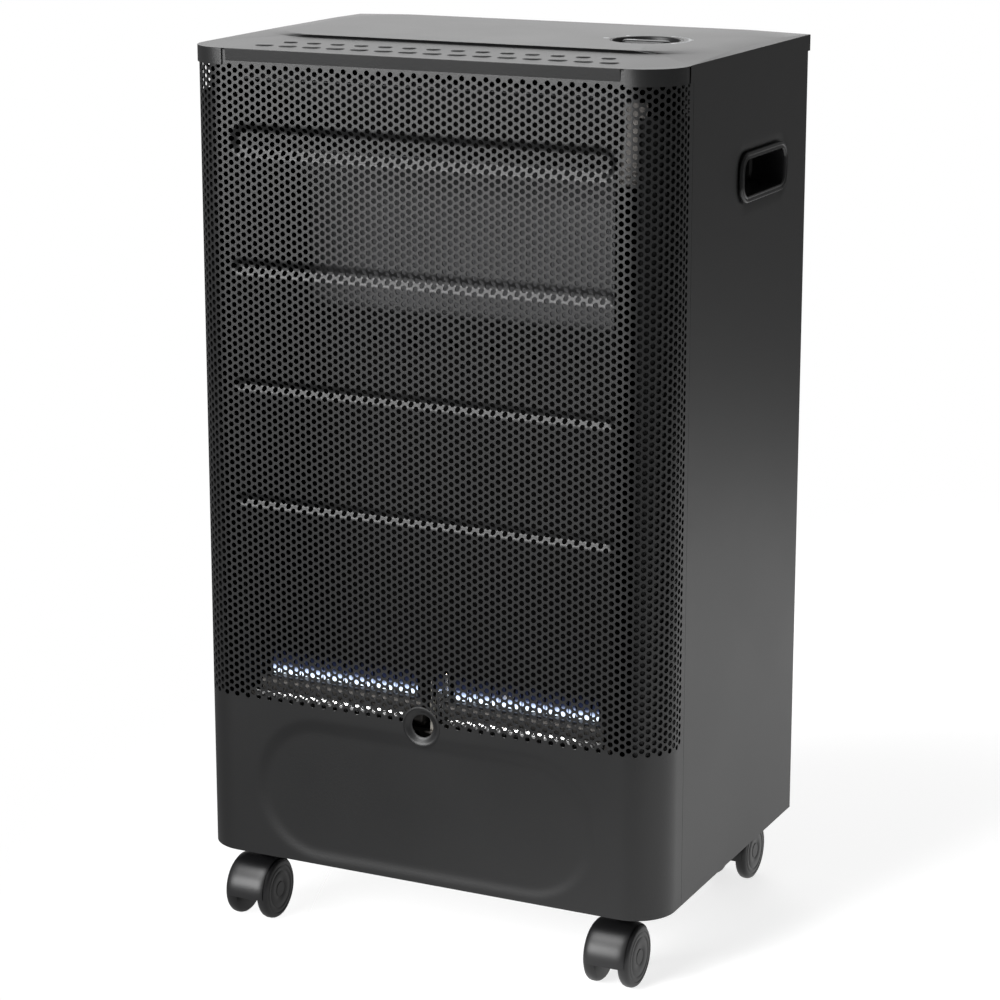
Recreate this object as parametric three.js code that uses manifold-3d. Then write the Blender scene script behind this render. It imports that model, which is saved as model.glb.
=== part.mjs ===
// Portable gas cabinet heater: a sheet-steel cabinet on four castors, with a row of
// blue-flame burners behind its front panel and room for a gas bottle behind them.
// Millimetres, +Z up. The front faces -Y. The origin is on the floor, under the middle.
import * as THREE from "three";
import { mergeVertices } from "three/addons/utils/BufferGeometryUtils.js";
import Module from "manifold-3d";

const wasm = await Module();
wasm.setup();

// ---------- driving dimensions ----------
const WIDTH = 412; // outer faces of the side panels
const DEPTH = 294; // front face to rear face
const BODY_BASE = 62; // underside of the cabinet above the floor
const RIM_TOP = 726; // top of the lid's flat border
const LID_TOP = 730; // top of the lid's raised platform
const CORNER = 34; // outer radius of the upright front corners
const SHEET = 1; // sheet steel
const GAP = 0.3; // clearance between touching pieces
const HALF_W = WIDTH / 2;
const FRONT = -DEPTH / 2;
const REAR = DEPTH / 2;

// Where the wrapped front panel ends and the side panels begin.
const SEAM_Y = FRONT + 47;

// Burner chamber: side walls, back wall and floor.
const CHAMBER_HALF_W = 163;
const PARTITION_Y = FRONT + 98;
const PARTITION_BOTTOM = 150;
const PARTITION_TOP = 700;
const TRAY_Z = 156;
const PILOT_PLATE_Z = 184;
const BURNER_Y = FRONT + 25;
const BURNER_TOP = 213;
const PILOT_X = 4;
const MANIFOLD_Z = 172;

// Gas control, under the knob in the lid.
const KNOB_X = 119;
const KNOB_Y = 16;
const KNOB_RADIUS = 22.5;
const WELL_RADIUS = 28.7;
const WELL_FLOOR = 712;
const VALVE_TOP = 672;
const VALVE_HALF_W = 18;
const VALVE_HALF_D = 15;

// Side handles.
const HANDLE_Y = 48;
const HANDLE_Z = 627;
const HANDLE_LONG = 102;
const HANDLE_HIGH = 40;
const CUP_LONG = 91;
const CUP_HIGH = 30;
const CUP_DEPTH = 30;

// Castors.
const CASTOR_X = 163;
const CASTOR_Y = 107;
const CASTOR_TRAIL = 20;
const WHEEL_RADIUS = 25;
const WHEEL_WIDTH = 10;
const AXLE_RADIUS = 3;
const STEM_RADIUS = 5;

// Rear door, its hinge line and its turning latch.
const DOOR_HALF_W = 183.7;
const DOOR_BOTTOM = 80;
const DOOR_TOP = 711;
const DOOR_LIP = 12;
const HINGE_X = -187;
const HINGE_Y = REAR + 3.2;
const HINGE_HEIGHTS = { lower: 150, upper: 620 };
const LATCH_X = 168;
const LATCH_Z = 400;

// ---------- materials ----------
function finish(color, roughness, metalness) {
  return new THREE.MeshStandardMaterial({ color, roughness, metalness });
}

const CHARCOAL = finish(0x2e2f31, 0.55, 0.2);
const DARK_PLATE = finish(0x1d1e20, 0.6, 0.4);
const BRIGHT_PLATE = finish(0xb9bbbc, 0.3, 0.9);
const BRASS = finish(0xb08d4a, 0.35, 0.9);
const COPPER = finish(0xa86a4b, 0.35, 0.9);
const BLACK_PLASTIC = finish(0x141415, 0.45, 0);
const CERAMIC = finish(0xe6e0d2, 0.5, 0);
const SPRING_STEEL = finish(0x8d8f92, 0.35, 0.9);

// ---------- shapes ----------
// A closed mesh as a solid that can be joined and cut.
function solid(geometry) {
  const bare = geometry.clone();
  bare.deleteAttribute("normal");
  bare.deleteAttribute("uv");
  const merged = mergeVertices(bare, 1e-4);
  return new wasm.Manifold(
    new wasm.Mesh({
      numProp: 3,
      vertProperties: merged.attributes.position.array,
      triVerts: new Uint32Array(merged.index.array),
    }),
  );
}

// A solid as a flat-shaded geometry for a mesh.
function geometryOf(made) {
  const { vertProperties, triVerts } = made.getMesh();
  const indexed = new THREE.BufferGeometry();
  indexed.setAttribute("position", new THREE.BufferAttribute(vertProperties, 3));
  indexed.setIndex(new THREE.BufferAttribute(triVerts, 1));
  const flat = indexed.toNonIndexed();
  flat.computeVertexNormals();
  return flat;
}

const join = (first, ...others) => others.reduce((sum, other) => sum.add(other), first);
const cut = (first, ...others) => others.reduce((rest, other) => rest.subtract(other), first);

// A block between two corners.
function block([x0, y0, z0], [x1, y1, z1]) {
  const geometry = new THREE.BoxGeometry(x1 - x0, y1 - y0, z1 - z0);
  geometry.translate((x0 + x1) / 2, (y0 + y1) / 2, (z0 + z1) / 2);
  return solid(geometry);
}

// A round bar between two points.
function bar(radius, from, to, sides = 16) {
  const start = new THREE.Vector3(...from);
  const run = new THREE.Vector3(...to).sub(start);
  const geometry = new THREE.CylinderGeometry(radius, radius, run.length(), sides);
  const upright = new THREE.Vector3(0, 1, 0);
  const turn = new THREE.Quaternion().setFromUnitVectors(upright, run.clone().normalize());
  geometry.applyQuaternion(turn);
  geometry.translate(...start.addScaledVector(run, 0.5).toArray());
  return solid(geometry);
}

// A turned piece: [radius, height] pairs up the outside, about the Z axis.
function turned(profile, sides = 24) {
  const points = profile.map(([radius, height]) => new THREE.Vector2(radius, height));
  const geometry = new THREE.LatheGeometry(points, sides);
  geometry.rotateX(Math.PI / 2);
  return solid(geometry);
}

// A tube of round section along a smooth path.
function pipe(radius, points, sides = 10) {
  const path = new THREE.CatmullRomCurve3(points.map((p) => new THREE.Vector3(...p)), false, "centripetal");
  const section = new THREE.Shape();
  section.absarc(0, 0, radius, 0, 2 * Math.PI);
  const steps = Math.min(36, Math.round(path.getLength() / (radius * 5)));
  return solid(new THREE.ExtrudeGeometry(section, { steps, extrudePath: path, curveSegments: sides / 2 }));
}

function roundedRect(halfLong, halfHigh, radius) {
  const shape = new THREE.Shape();
  const [u, v] = [halfLong - radius, halfHigh - radius];
  shape.absarc(u, -v, radius, -Math.PI / 2, 0);
  shape.absarc(u, v, radius, 0, Math.PI / 2);
  shape.absarc(-u, v, radius, Math.PI / 2, Math.PI);
  shape.absarc(-u, -v, radius, Math.PI, 1.5 * Math.PI);
  shape.closePath();
  return shape;
}

function extruded(shape, length, curveSegments = 4) {
  return new THREE.ExtrudeGeometry(shape, { depth: length, bevelEnabled: false, curveSegments });
}

// Outlines drawn from above, from the side (y, z) and from the front (x, z).
function raised(shape, z0, z1) {
  const geometry = extruded(shape, z1 - z0);
  geometry.translate(0, 0, z0);
  return solid(geometry);
}

function acrossX(shape, x0, x1) {
  const geometry = extruded(shape, x1 - x0);
  const turn = new THREE.Matrix4().makeBasis(
    new THREE.Vector3(0, 1, 0),
    new THREE.Vector3(0, 0, 1),
    new THREE.Vector3(1, 0, 0),
  );
  geometry.applyMatrix4(turn);
  geometry.translate(x0, 0, 0);
  return solid(geometry);
}

function acrossY(shape, y0, y1) {
  const geometry = extruded(shape, y1 - y0);
  geometry.rotateX(Math.PI / 2);
  geometry.translate(0, y1, 0);
  return solid(geometry);
}

const heater = new THREE.Group();

function piece(name, made, material, parent = heater) {
  const mesh = new THREE.Mesh(geometryOf(made), material);
  mesh.name = name;
  parent.add(mesh);
  return mesh;
}

// The same piece made for the right and mirrored for the left.
function pair(name, made, material) {
  piece(`${name}_right`, made, material);
  piece(`${name}_left`, made, material).scale.x = -1;
}

// The cabinet's plan outline, drawn in by an inset, from the front back to rearY.
function cabinetPlan(inset, rearY) {
  const half = HALF_W - inset;
  const front = FRONT + inset;
  const radius = CORNER - inset;
  const shape = new THREE.Shape();
  shape.moveTo(half, rearY);
  shape.lineTo(-half, rearY);
  shape.lineTo(-half, front + radius);
  shape.absarc(-half + radius, front + radius, radius, Math.PI, 1.5 * Math.PI);
  shape.absarc(half - radius, front + radius, radius, 1.5 * Math.PI, 2 * Math.PI);
  shape.closePath();
  return shape;
}

// ---------- cabinet ----------
const PANEL_TOP = RIM_TOP - SHEET - GAP;

// A wall of sheet standing on the cabinet's plan, open at its rear.
function wrappedSheet(outer, rearY, z0, z1) {
  const inner = cabinetPlan(outer + SHEET, rearY + 5);
  return raised(cabinetPlan(outer, rearY), z0, z1).subtract(raised(inner, z0 - 1, z1 + 1));
}

// A groove pressed across the front: a long lens shape, half sunk in the sheet.
function beadTool(halfHigh, depth, halfLong) {
  const steps = 4;
  const profile = [];
  for (let i = 0; i <= steps; i += 1) {
    const angle = (i / steps) * (Math.PI / 2);
    profile.push([halfHigh * Math.sin(angle), -halfLong + halfHigh * (1 - Math.cos(angle))]);
  }
  const upper = profile.map(([radius, height]) => [radius, -height]).reverse();
  const points = [...profile, ...upper].map(([radius, height]) => new THREE.Vector2(radius, height));
  const geometry = new THREE.LatheGeometry(points, 12);
  geometry.rotateZ(-Math.PI / 2);
  geometry.scale(1, depth / halfHigh, 1);
  return geometry;
}

// Height of each bead's middle, its half height and its depth.
const BEADS = [
  { z: 651, halfHigh: 6.5, depth: 3 },
  { z: 548, halfHigh: 4.5, depth: 2.4 },
  { z: 447, halfHigh: 3.5, depth: 2 },
  { z: 355, halfHigh: 3.5, depth: 2 },
];
const BEAD_HALF_LONG = 165;

const FIELD_HALF_W = 153; // the pressed field in the plain lower part
const FIELD_BOTTOM = 71;
const FIELD_TOP = 186;
const FIELD_RADIUS = 52;
const FIELD_DEPTH = 1.5;

const PORT_Z = 195; // the lighting port and the dish around it
const PORT_HOLE = 11;
const PORT_DISH = 17;
const PORT_DEPTH = 4;

function pressBead(panel, { z, halfHigh, depth }) {
  const place = (geometry) => solid(geometry.translate(0, FRONT, z));
  const back = place(beadTool(halfHigh + SHEET, depth + SHEET, BEAD_HALF_LONG + SHEET));
  const behindFace = block([-HALF_W, FRONT + SHEET / 2, z - 20], [HALF_W, FRONT + 20, z + 20]);
  return panel.add(back.intersect(behindFace)).subtract(place(beadTool(halfHigh, depth, BEAD_HALF_LONG)));
}

function pressField(panel) {
  const middle = (FIELD_TOP + FIELD_BOTTOM) / 2;
  const halfHigh = (FIELD_TOP - FIELD_BOTTOM) / 2;
  const field = (grow, y0, y1) => {
    const outline = roundedRect(FIELD_HALF_W + grow, halfHigh + grow, FIELD_RADIUS + grow);
    return acrossY(outline, y0, y1).translate(0, 0, middle);
  };
  const back = field(SHEET, FRONT + SHEET / 2, FRONT + FIELD_DEPTH + SHEET);
  return panel.add(back).subtract(field(0, FRONT - 2, FRONT + FIELD_DEPTH));
}

// A dished ring around a round hole: a cone behind, less a smaller cone in front.
function pressPort(panel) {
  const dish = (grow, depth) =>
    turned([
      [0, -depth],
      [PORT_HOLE + grow, -depth],
      [PORT_DISH + grow, 0],
      [0, 0],
    ])
      .rotate(90, 0, 0)
      .translate(0, FRONT, PORT_Z);
  const back = dish(SHEET, PORT_DEPTH + SHEET).intersect(
    block([-30, FRONT + SHEET / 2, PORT_Z - 30], [30, FRONT + 20, PORT_Z + 30]),
  );
  const hole = bar(PORT_HOLE, [0, FRONT - 5, PORT_Z], [0, FRONT + 20, PORT_Z], 32);
  return cut(panel.add(back), dish(0, PORT_DEPTH), hole);
}

function frontPanel() {
  const bottomLip = raised(cabinetPlan(0, SEAM_Y), BODY_BASE, BODY_BASE + SHEET).subtract(
    raised(cabinetPlan(12, SEAM_Y + 5), BODY_BASE - 1, BODY_BASE + 2),
  );
  let panel = join(wrappedSheet(0, SEAM_Y, BODY_BASE, PANEL_TOP), bottomLip);
  panel = pressPort(pressField(panel));
  return BEADS.reduce(pressBead, panel);
}

// Flat side with turned-in edges, a lap behind the front panel and a handle cut-out.
const LAP_BOTTOM = 90;
const LAP_TOP = 690;
function sidePanel() {
  const inner = HALF_W - SHEET;
  const startY = SEAM_Y + GAP;
  const lapInner = inner - SHEET - GAP;
  const lap = block([lapInner, startY - 12, LAP_BOTTOM], [inner - GAP, startY + 3, LAP_TOP]);
  const lapStep = block([lapInner, startY + 1, LAP_BOTTOM], [inner + SHEET / 2, startY + 3, LAP_TOP]);
  const cutOut = acrossX(roundedRect(CUP_LONG / 2 + GAP, CUP_HIGH / 2 + GAP, 11), HALF_W - 5, HALF_W + 5);
  const panel = join(
    block([inner, startY, BODY_BASE], [HALF_W, REAR, PANEL_TOP]),
    block([inner - 12, startY, BODY_BASE], [HALF_W, REAR, BODY_BASE + SHEET]),
    block([inner - 10, startY, PANEL_TOP - SHEET], [HALF_W, REAR, PANEL_TOP]),
    block([DOOR_HALF_W + 0.8, REAR - SHEET, BODY_BASE], [HALF_W, REAR, PANEL_TOP]),
    lap,
    lapStep,
  );
  return panel.subtract(cutOut.translate(0, HANDLE_Y, HANDLE_Z));
}

// Floor of the cabinet: a pan with upturned edges, air slots and four castor sockets.
function basePan() {
  const floor = BODY_BASE + SHEET + GAP;
  const inset = 3.3;
  const rear = REAR - SHEET - GAP;
  const body = raised(cabinetPlan(inset, rear), floor, floor + 16);
  const hollow = raised(cabinetPlan(inset + SHEET, rear - SHEET), floor + SHEET, floor + 20);
  const sockets = [];
  const bores = [];
  for (const x of [-CASTOR_X, CASTOR_X]) {
    for (const y of [-CASTOR_Y, CASTOR_Y]) {
      sockets.push(bar(STEM_RADIUS + 4, [x, y, floor], [x, y, floor + 27], 16));
      bores.push(bar(STEM_RADIUS + 0.2, [x, y, floor - 5], [x, y, floor + 25], 16));
    }
  }
  const slots = [];
  for (let row = 0; row < 4; row += 1) {
    for (const x of [-70, 0, 70]) {
      const y = 10 + row * 30;
      slots.push(block([x - 26, y - 4, floor - 2], [x + 26, y + 4, floor + 4]));
    }
  }
  return cut(join(body.subtract(hollow), ...sockets), ...bores, ...slots);
}

// ---------- lid ----------
const PLATFORM = { halfW: 187, front: FRONT + 85, rear: REAR - 8, radius: 38 };

function platformPlan(inset) {
  const halfDeep = (PLATFORM.rear - PLATFORM.front) / 2 - inset;
  return roundedRect(PLATFORM.halfW - inset, halfDeep, PLATFORM.radius - inset);
}

// Flat border and raised platform, with edges turned down outside the panels. Each
// rounded front corner has a drawn edge of its own, a slit away from the folded ones.
const EDGE_HIGH = 13;
const FRONT_EDGE_HIGH = 10.5;
const EDGE_STOP = CORNER + 3.5; // from the cabinet's side or front to a folded edge's end
const EDGE_SLIT = 2;
function lid() {
  const out = -SHEET - GAP;
  const middle = (PLATFORM.rear + PLATFORM.front) / 2;
  const edge = HALF_W + GAP;
  const border = raised(cabinetPlan(out, REAR + SHEET + GAP), RIM_TOP - SHEET, RIM_TOP);
  const platform = raised(platformPlan(0), RIM_TOP - SHEET, LID_TOP).translate(0, middle, 0);
  const under = raised(platformPlan(SHEET), RIM_TOP - 5, LID_TOP - SHEET).translate(0, middle, 0);
  const frontHalf = HALF_W - EDGE_STOP;
  const sideStart = FRONT + EDGE_STOP;
  const [low, high] = [RIM_TOP - EDGE_HIGH, RIM_TOP - 0.2];
  const cornerWall = raised(cabinetPlan(out, sideStart - EDGE_SLIT), low, high);
  const besideWall = raised(cabinetPlan(-GAP, sideStart + 5), low - 1, high + 1);
  const apart = frontHalf + EDGE_SLIT;
  const betweenCorners = block([-apart, FRONT - 5, low - 1], [apart, 0, high + 1]);
  const edges = [
    block([-frontHalf, FRONT - GAP - SHEET, RIM_TOP - FRONT_EDGE_HIGH], [frontHalf, FRONT - GAP, high]),
    block([edge, sideStart, low], [edge + SHEET, REAR + SHEET + GAP, high]),
    block([-edge - SHEET, sideStart, low], [-edge, REAR + SHEET + GAP, high]),
    block([-edge, REAR + GAP, low], [edge, REAR + GAP + SHEET, high]),
    cut(cornerWall, besideWall, betweenCorners),
  ];
  const wellHole = bar(WELL_RADIUS + GAP, [KNOB_X, KNOB_Y, RIM_TOP - 5], [KNOB_X, KNOB_Y, LID_TOP + 5], 48);
  return cut(join(border, platform, ...edges), under, wellHole);
}

// ---------- gas control ----------
const atKnob = (made) => made.translate(KNOB_X, KNOB_Y, 0);
const KNOB_BOTTOM = 718;
const KNOB_TOP = 729.5;
const SPINDLE_RADIUS = 3;
const SLEEVE_RADIUS = 5;
const COLLAR_Z = 694;

// A cup let into the lid, held by a flange under the sheet.
function knobWell() {
  return atKnob(
    turned(
      [
        [7, WELL_FLOOR - 2],
        [WELL_RADIUS, WELL_FLOOR - 2],
        [WELL_RADIUS, 726.8],
        [WELL_RADIUS + 4, 726.8],
        [WELL_RADIUS + 4, 728.4],
        [WELL_RADIUS, 728.4],
        [WELL_RADIUS, 729.8],
        [WELL_RADIUS - 1.8, 729.8],
        [WELL_RADIUS - 1.8, WELL_FLOOR],
        [7, WELL_FLOOR],
        [7, WELL_FLOOR - 2],
      ],
      40,
    ),
  );
}

// A round skirt with a grip across it and a bore for the spindle underneath.
function controlKnob() {
  const skirt = turned(
    [
      [0, KNOB_BOTTOM],
      [KNOB_RADIUS, KNOB_BOTTOM],
      [KNOB_RADIUS, KNOB_BOTTOM + 3],
      [KNOB_RADIUS - 1.5, KNOB_BOTTOM + 4.5],
      [0, KNOB_BOTTOM + 4.5],
    ],
    40,
  );
  const grip = raised(roundedRect(20.5, 5.5, 5), KNOB_BOTTOM + 4, KNOB_TOP);
  const bore = bar(SPINDLE_RADIUS + GAP, [0, 0, KNOB_BOTTOM - 2], [0, 0, KNOB_BOTTOM + 7]);
  return atKnob(cut(join(skirt, grip), bore));
}

function valveBody() {
  const body = join(
    block([-VALVE_HALF_W, -VALVE_HALF_D, VALVE_TOP - 30], [VALVE_HALF_W, VALVE_HALF_D, VALVE_TOP]),
    bar(8, [0, -10, VALVE_TOP - 32], [0, -10, VALVE_TOP - 48]),
  );
  const bore = bar(SPINDLE_RADIUS + 0.6, [0, 0, VALVE_TOP - 24], [0, 0, VALVE_TOP + 2]);
  const neck = block([-9, -15, VALVE_TOP - 34], [9, 0, VALVE_TOP - 28]);
  return atKnob(body.add(neck).subtract(bore));
}

// The plate that carries the valve and the igniter, fixed to the partition.
function valveBracket() {
  const top = VALVE_TOP + GAP;
  const back = PARTITION_Y + GAP;
  const plate = join(
    block([62, back, top], [143, KNOB_Y + 18, top + 1.5]),
    block([62, back, top], [143, back + 1.5, top + 24]),
  );
  const valveHole = bar(9.5, [KNOB_X, KNOB_Y, top - 5], [KNOB_X, KNOB_Y, top + 5], 24);
  const igniterHole = bar(9.4, [IGNITER_X, KNOB_Y, top - 5], [IGNITER_X, KNOB_Y, top + 5], 24);
  return cut(plate, valveHole, igniterHole);
}

const IGNITER_X = 78;

// The piezo igniter, which hangs through the bracket on its own flange.
function igniter() {
  return turned(
    [
      [0, 640],
      [3, 640],
      [3, 648],
      [9, 648],
      [9, VALVE_TOP + 2.1],
      [11.5, VALVE_TOP + 2.1],
      [11.5, VALVE_TOP + 5],
      [9, VALVE_TOP + 5],
      [9, 688],
      [4, 688],
      [4, 694],
      [0, 694],
    ],
    16,
  ).translate(IGNITER_X, KNOB_Y, 0);
}

// The sleeve that the knob pushes down, with the collar that its spring lifts.
function pushSleeve() {
  const bore = SPINDLE_RADIUS + GAP;
  return atKnob(
    turned([
      [bore, VALVE_TOP + 5],
      [SLEEVE_RADIUS, VALVE_TOP + 5],
      [SLEEVE_RADIUS, COLLAR_Z],
      [9, COLLAR_Z],
      [9, COLLAR_Z + 4],
      [SLEEVE_RADIUS, COLLAR_Z + 4],
      [SLEEVE_RADIUS, COLLAR_Z + 8],
      [bore, COLLAR_Z + 8],
      [bore, VALVE_TOP + 5],
    ]),
  );
}

function knobSpindle() {
  return atKnob(bar(SPINDLE_RADIUS, [0, 0, VALVE_TOP - 17], [0, 0, KNOB_BOTTOM + 6.5]));
}

function returnSpring() {
  return atKnob(
    turned([
      [SLEEVE_RADIUS + 1, VALVE_TOP + GAP],
      [SLEEVE_RADIUS + 2.6, VALVE_TOP + GAP],
      [SLEEVE_RADIUS + 2.6, COLLAR_Z - GAP],
      [SLEEVE_RADIUS + 1, COLLAR_Z - GAP],
      [SLEEVE_RADIUS + 1, VALVE_TOP + GAP],
    ]),
  );
}

function hoseNozzle() {
  const start = VALVE_HALF_D + GAP;
  const profile = [
    [0, 0],
    [7, 0],
    [7, 6],
    [4.5, 6],
  ];
  for (let barb = 0; barb < 3; barb += 1) {
    const height = 9 + barb * 7;
    profile.push([4.5, height], [5.6, height + 0.5], [4.5, height + 4]);
  }
  profile.push([4.2, 31], [2, 31], [2, 8], [0, 8]);
  return atKnob(turned(profile, 16).rotate(-90, 0, 0).translate(0, start, VALVE_TOP - 14));
}

// ---------- burner chamber ----------
const PORT_ROW_Z = 485;
const MAIN_PIPE_RADIUS = 4;
const PILOT_PIPE_RADIUS = 2;
const PILOT_PIPE_X = 30;
const PILOT_PIPE_Z = 192;

// The wall between the burners and the bottle, with a row of six holes.
function partition() {
  const rear = PARTITION_Y;
  const wall = join(
    block([-200, rear - SHEET, PARTITION_BOTTOM], [200, rear, PARTITION_TOP]),
    block([-200, rear - SHEET, PARTITION_TOP - SHEET], [200, rear + 14, PARTITION_TOP]),
  );
  const holes = [];
  for (let i = 0; i < 6; i += 1) {
    const x = (i - 2.5) * 36;
    holes.push(bar(5, [x, rear - 5, PORT_ROW_Z], [x, rear + 5, PORT_ROW_Z], 16));
  }
  const pipeHole = (x, z, radius) => bar(radius, [x, rear - 5, z], [x, rear + 5, z], 16);
  return cut(
    wall,
    ...holes,
    pipeHole(PILOT_X, MANIFOLD_Z, MAIN_PIPE_RADIUS + 3),
    pipeHole(PILOT_PIPE_X, PILOT_PIPE_Z, PILOT_PIPE_RADIUS + 3),
  );
}

// A side wall of the chamber, flanged where it meets the partition.
const CHAMBER_TOP = 690;
function chamberWall() {
  const inner = CHAMBER_HALF_W - SHEET;
  const back = PARTITION_Y - SHEET - GAP;
  const low = TRAY_Z + SHEET + GAP;
  return join(
    block([inner, FRONT + 5, low], [CHAMBER_HALF_W, back, CHAMBER_TOP]),
    block([inner, back - SHEET, low], [CHAMBER_HALF_W + 12, back, CHAMBER_TOP]),
  );
}

// The bright plate on the partition, its top leaning forward to throw the heat out.
function deflector() {
  const back = PARTITION_Y - SHEET - GAP;
  const shape = new THREE.Shape();
  shape.moveTo(back, 492);
  shape.lineTo(back, 604);
  shape.lineTo(back - 26, 640);
  shape.lineTo(back - 27, 639.2);
  shape.lineTo(back - 1.2, 603.4);
  shape.lineTo(back - 1.2, 492);
  shape.closePath();
  return acrossX(shape, -147, 147);
}

// The shield that keeps the heat off the lid, sloping up to the front.
function topShield() {
  const back = PARTITION_Y - SHEET - GAP;
  const shape = new THREE.Shape();
  shape.moveTo(back, 672);
  shape.lineTo(FRONT + 40, 702);
  shape.lineTo(FRONT + 6, 702);
  shape.lineTo(FRONT + 6, 703.2);
  shape.lineTo(FRONT + 39.6, 703.2);
  shape.lineTo(back, 673.4);
  shape.closePath();
  const inner = CHAMBER_HALF_W - SHEET - GAP;
  return acrossX(shape, -inner, inner);
}

// The chamber's floor, with a front lip that rises to a low peak in the middle.
const LIP_Y = FRONT + 8;
const LIP_END_Z = 200;
const LIP_PEAK_Z = 208;
function burnerTray() {
  const half = CHAMBER_HALF_W - SHEET - GAP;
  const back = PARTITION_Y - SHEET - GAP;
  const lip = new THREE.Shape();
  lip.moveTo(-half, TRAY_Z);
  lip.lineTo(half, TRAY_Z);
  lip.lineTo(half, LIP_END_Z);
  lip.lineTo(0, LIP_PEAK_Z);
  lip.lineTo(-half, LIP_END_Z);
  lip.closePath();
  const tray = join(
    block([-CHAMBER_HALF_W, LIP_Y, TRAY_Z], [CHAMBER_HALF_W, back, TRAY_Z + SHEET]),
    acrossY(lip, LIP_Y, LIP_Y + SHEET),
    block([-half, LIP_Y, LIP_END_Z - 6], [half, LIP_Y + 3, LIP_END_Z - 5]),
  );
  const sightGap = block([-14, LIP_Y - 5, PILOT_PLATE_Z - 2], [PILOT_X + 16, LIP_Y + 5, LIP_PEAK_Z + 5]);
  return tray.subtract(sightGap);
}

// A bar burner with its mixing tube below, open towards the middle for the jet.
const JET_GAP = 22;
function burner(nearX, farX) {
  const side = Math.sign(farX);
  const [low, high] = [Math.min(nearX, farX), Math.max(nearX, farX)];
  const head = roundedRect(13, 11, 5);
  const body = acrossX(head, low, high).translate(0, BURNER_Y, BURNER_TOP - 11);
  const mouth = PILOT_X + side * JET_GAP;
  const far = farX - side * 14;
  const tube = bar(9, [mouth, BURNER_Y, MANIFOLD_Z], [far, BURNER_Y, MANIFOLD_Z], 20);
  const neckSpan = [far - side * 18, far].sort((a, b) => a - b);
  const neck = block([neckSpan[0], BURNER_Y - 7, MANIFOLD_Z], [neckSpan[1], BURNER_Y + 7, BURNER_TOP - 18]);
  const bore = bar(7.2, [mouth - side, BURNER_Y, MANIFOLD_Z], [mouth + side * 60, BURNER_Y, MANIFOLD_Z], 20);
  return join(body, tube, neck).subtract(bore);
}

const MANIFOLD_HALF = 10;
function gasManifold() {
  return block(
    [PILOT_X - MANIFOLD_HALF, BURNER_Y - 6, MANIFOLD_Z - 7],
    [PILOT_X + MANIFOLD_HALF, BURNER_Y + 6, MANIFOLD_Z + 7],
  );
}

function injector(side) {
  const start = PILOT_X + side * (MANIFOLD_HALF + GAP);
  return join(
    bar(4.5, [start, BURNER_Y, MANIFOLD_Z], [start + side * 4, BURNER_Y, MANIFOLD_Z], 6),
    bar(3, [start + side * 3, BURNER_Y, MANIFOLD_Z], [start + side * 10, BURNER_Y, MANIFOLD_Z], 16),
  );
}

// ---------- pilot ----------
const THERMOCOUPLE_X = PILOT_X + 6.6;
const ELECTRODE_X = PILOT_X - 6.6;

function pilotBracket() {
  const [left, right] = [PILOT_X - 9.7, PILOT_X + 9.7];
  const rear = BURNER_Y + 20;
  const top = PILOT_PLATE_Z + 1.5;
  const plate = block([left, BURNER_Y - 8, PILOT_PLATE_Z], [right, rear, top]);
  const leg = block([left, rear - 1.5, TRAY_Z + SHEET + GAP], [left + 4.5, rear, top]);
  const hole = (x, radius) => bar(radius, [x, BURNER_Y, top - 5], [x, BURNER_Y, top + 5]);
  return cut(plate.add(leg), hole(PILOT_X, 3.2), hole(THERMOCOUPLE_X, 2), hole(ELECTRODE_X, 2.4));
}

const atPilot = (made, x) => made.translate(x, BURNER_Y, 0);

function pilotBurner() {
  const body = turned(
    [
      [0, 181],
      [2.8, 181],
      [2.8, 186],
      [3.6, 186],
      [3.6, 210],
      [2.8, 214],
      [2.8, 219],
      [0, 219],
    ],
    16,
  );
  return atPilot(body, PILOT_X);
}

function thermocouple() {
  const body = turned(
    [
      [0, 180.5],
      [1.6, 180.5],
      [1.6, 232],
      [0.8, 234],
      [0, 234],
    ],
    12,
  );
  return atPilot(body, THERMOCOUPLE_X);
}

function electrode() {
  const body = turned(
    [
      [0, 180.5],
      [2, 180.5],
      [2, 208],
      [0.9, 209],
      [0.9, 228],
      [0, 228],
    ],
    12,
  );
  return atPilot(body, ELECTRODE_X);
}

// ---------- gas pipes ----------
const VALVE_FRONT = KNOB_Y - VALVE_HALF_D - GAP;

function mainPipe() {
  return pipe(MAIN_PIPE_RADIUS, [
    [KNOB_X + 9, VALVE_FRONT, 656],
    [KNOB_X + 9, VALVE_FRONT - 14, 655],
    [KNOB_X + 9, -33, 636],
    [KNOB_X + 9, -37, 600],
    [KNOB_X + 9, -37, 280],
    [100, -37, 205],
    [46, -36, 176],
    [18, -35, MANIFOLD_Z],
    [PILOT_X + 1, -42, MANIFOLD_Z],
    [PILOT_X, -58, MANIFOLD_Z],
    [PILOT_X, -90, MANIFOLD_Z],
    [PILOT_X, BURNER_Y + 6 + GAP, MANIFOLD_Z],
  ]);
}

function pilotPipe() {
  return pipe(
    PILOT_PIPE_RADIUS,
    [
      [KNOB_X - 12, VALVE_FRONT, 660],
      [KNOB_X - 12, VALVE_FRONT - 12, 659],
      [KNOB_X - 14, -34, 640],
      [KNOB_X - 15, -40, 600],
      [KNOB_X - 15, -40, 320],
      [80, -40, 235],
      [44, -41, 200],
      [PILOT_PIPE_X + 1, -46, PILOT_PIPE_Z],
      [PILOT_PIPE_X, -60, PILOT_PIPE_Z],
      [PILOT_X + 12, -92, PILOT_PIPE_Z + 1],
      [PILOT_X + 1, -106, PILOT_PIPE_Z + 1],
      [PILOT_X, BURNER_Y + 3.6 + GAP, PILOT_PIPE_Z + 1],
    ],
    8,
  );
}

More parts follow.
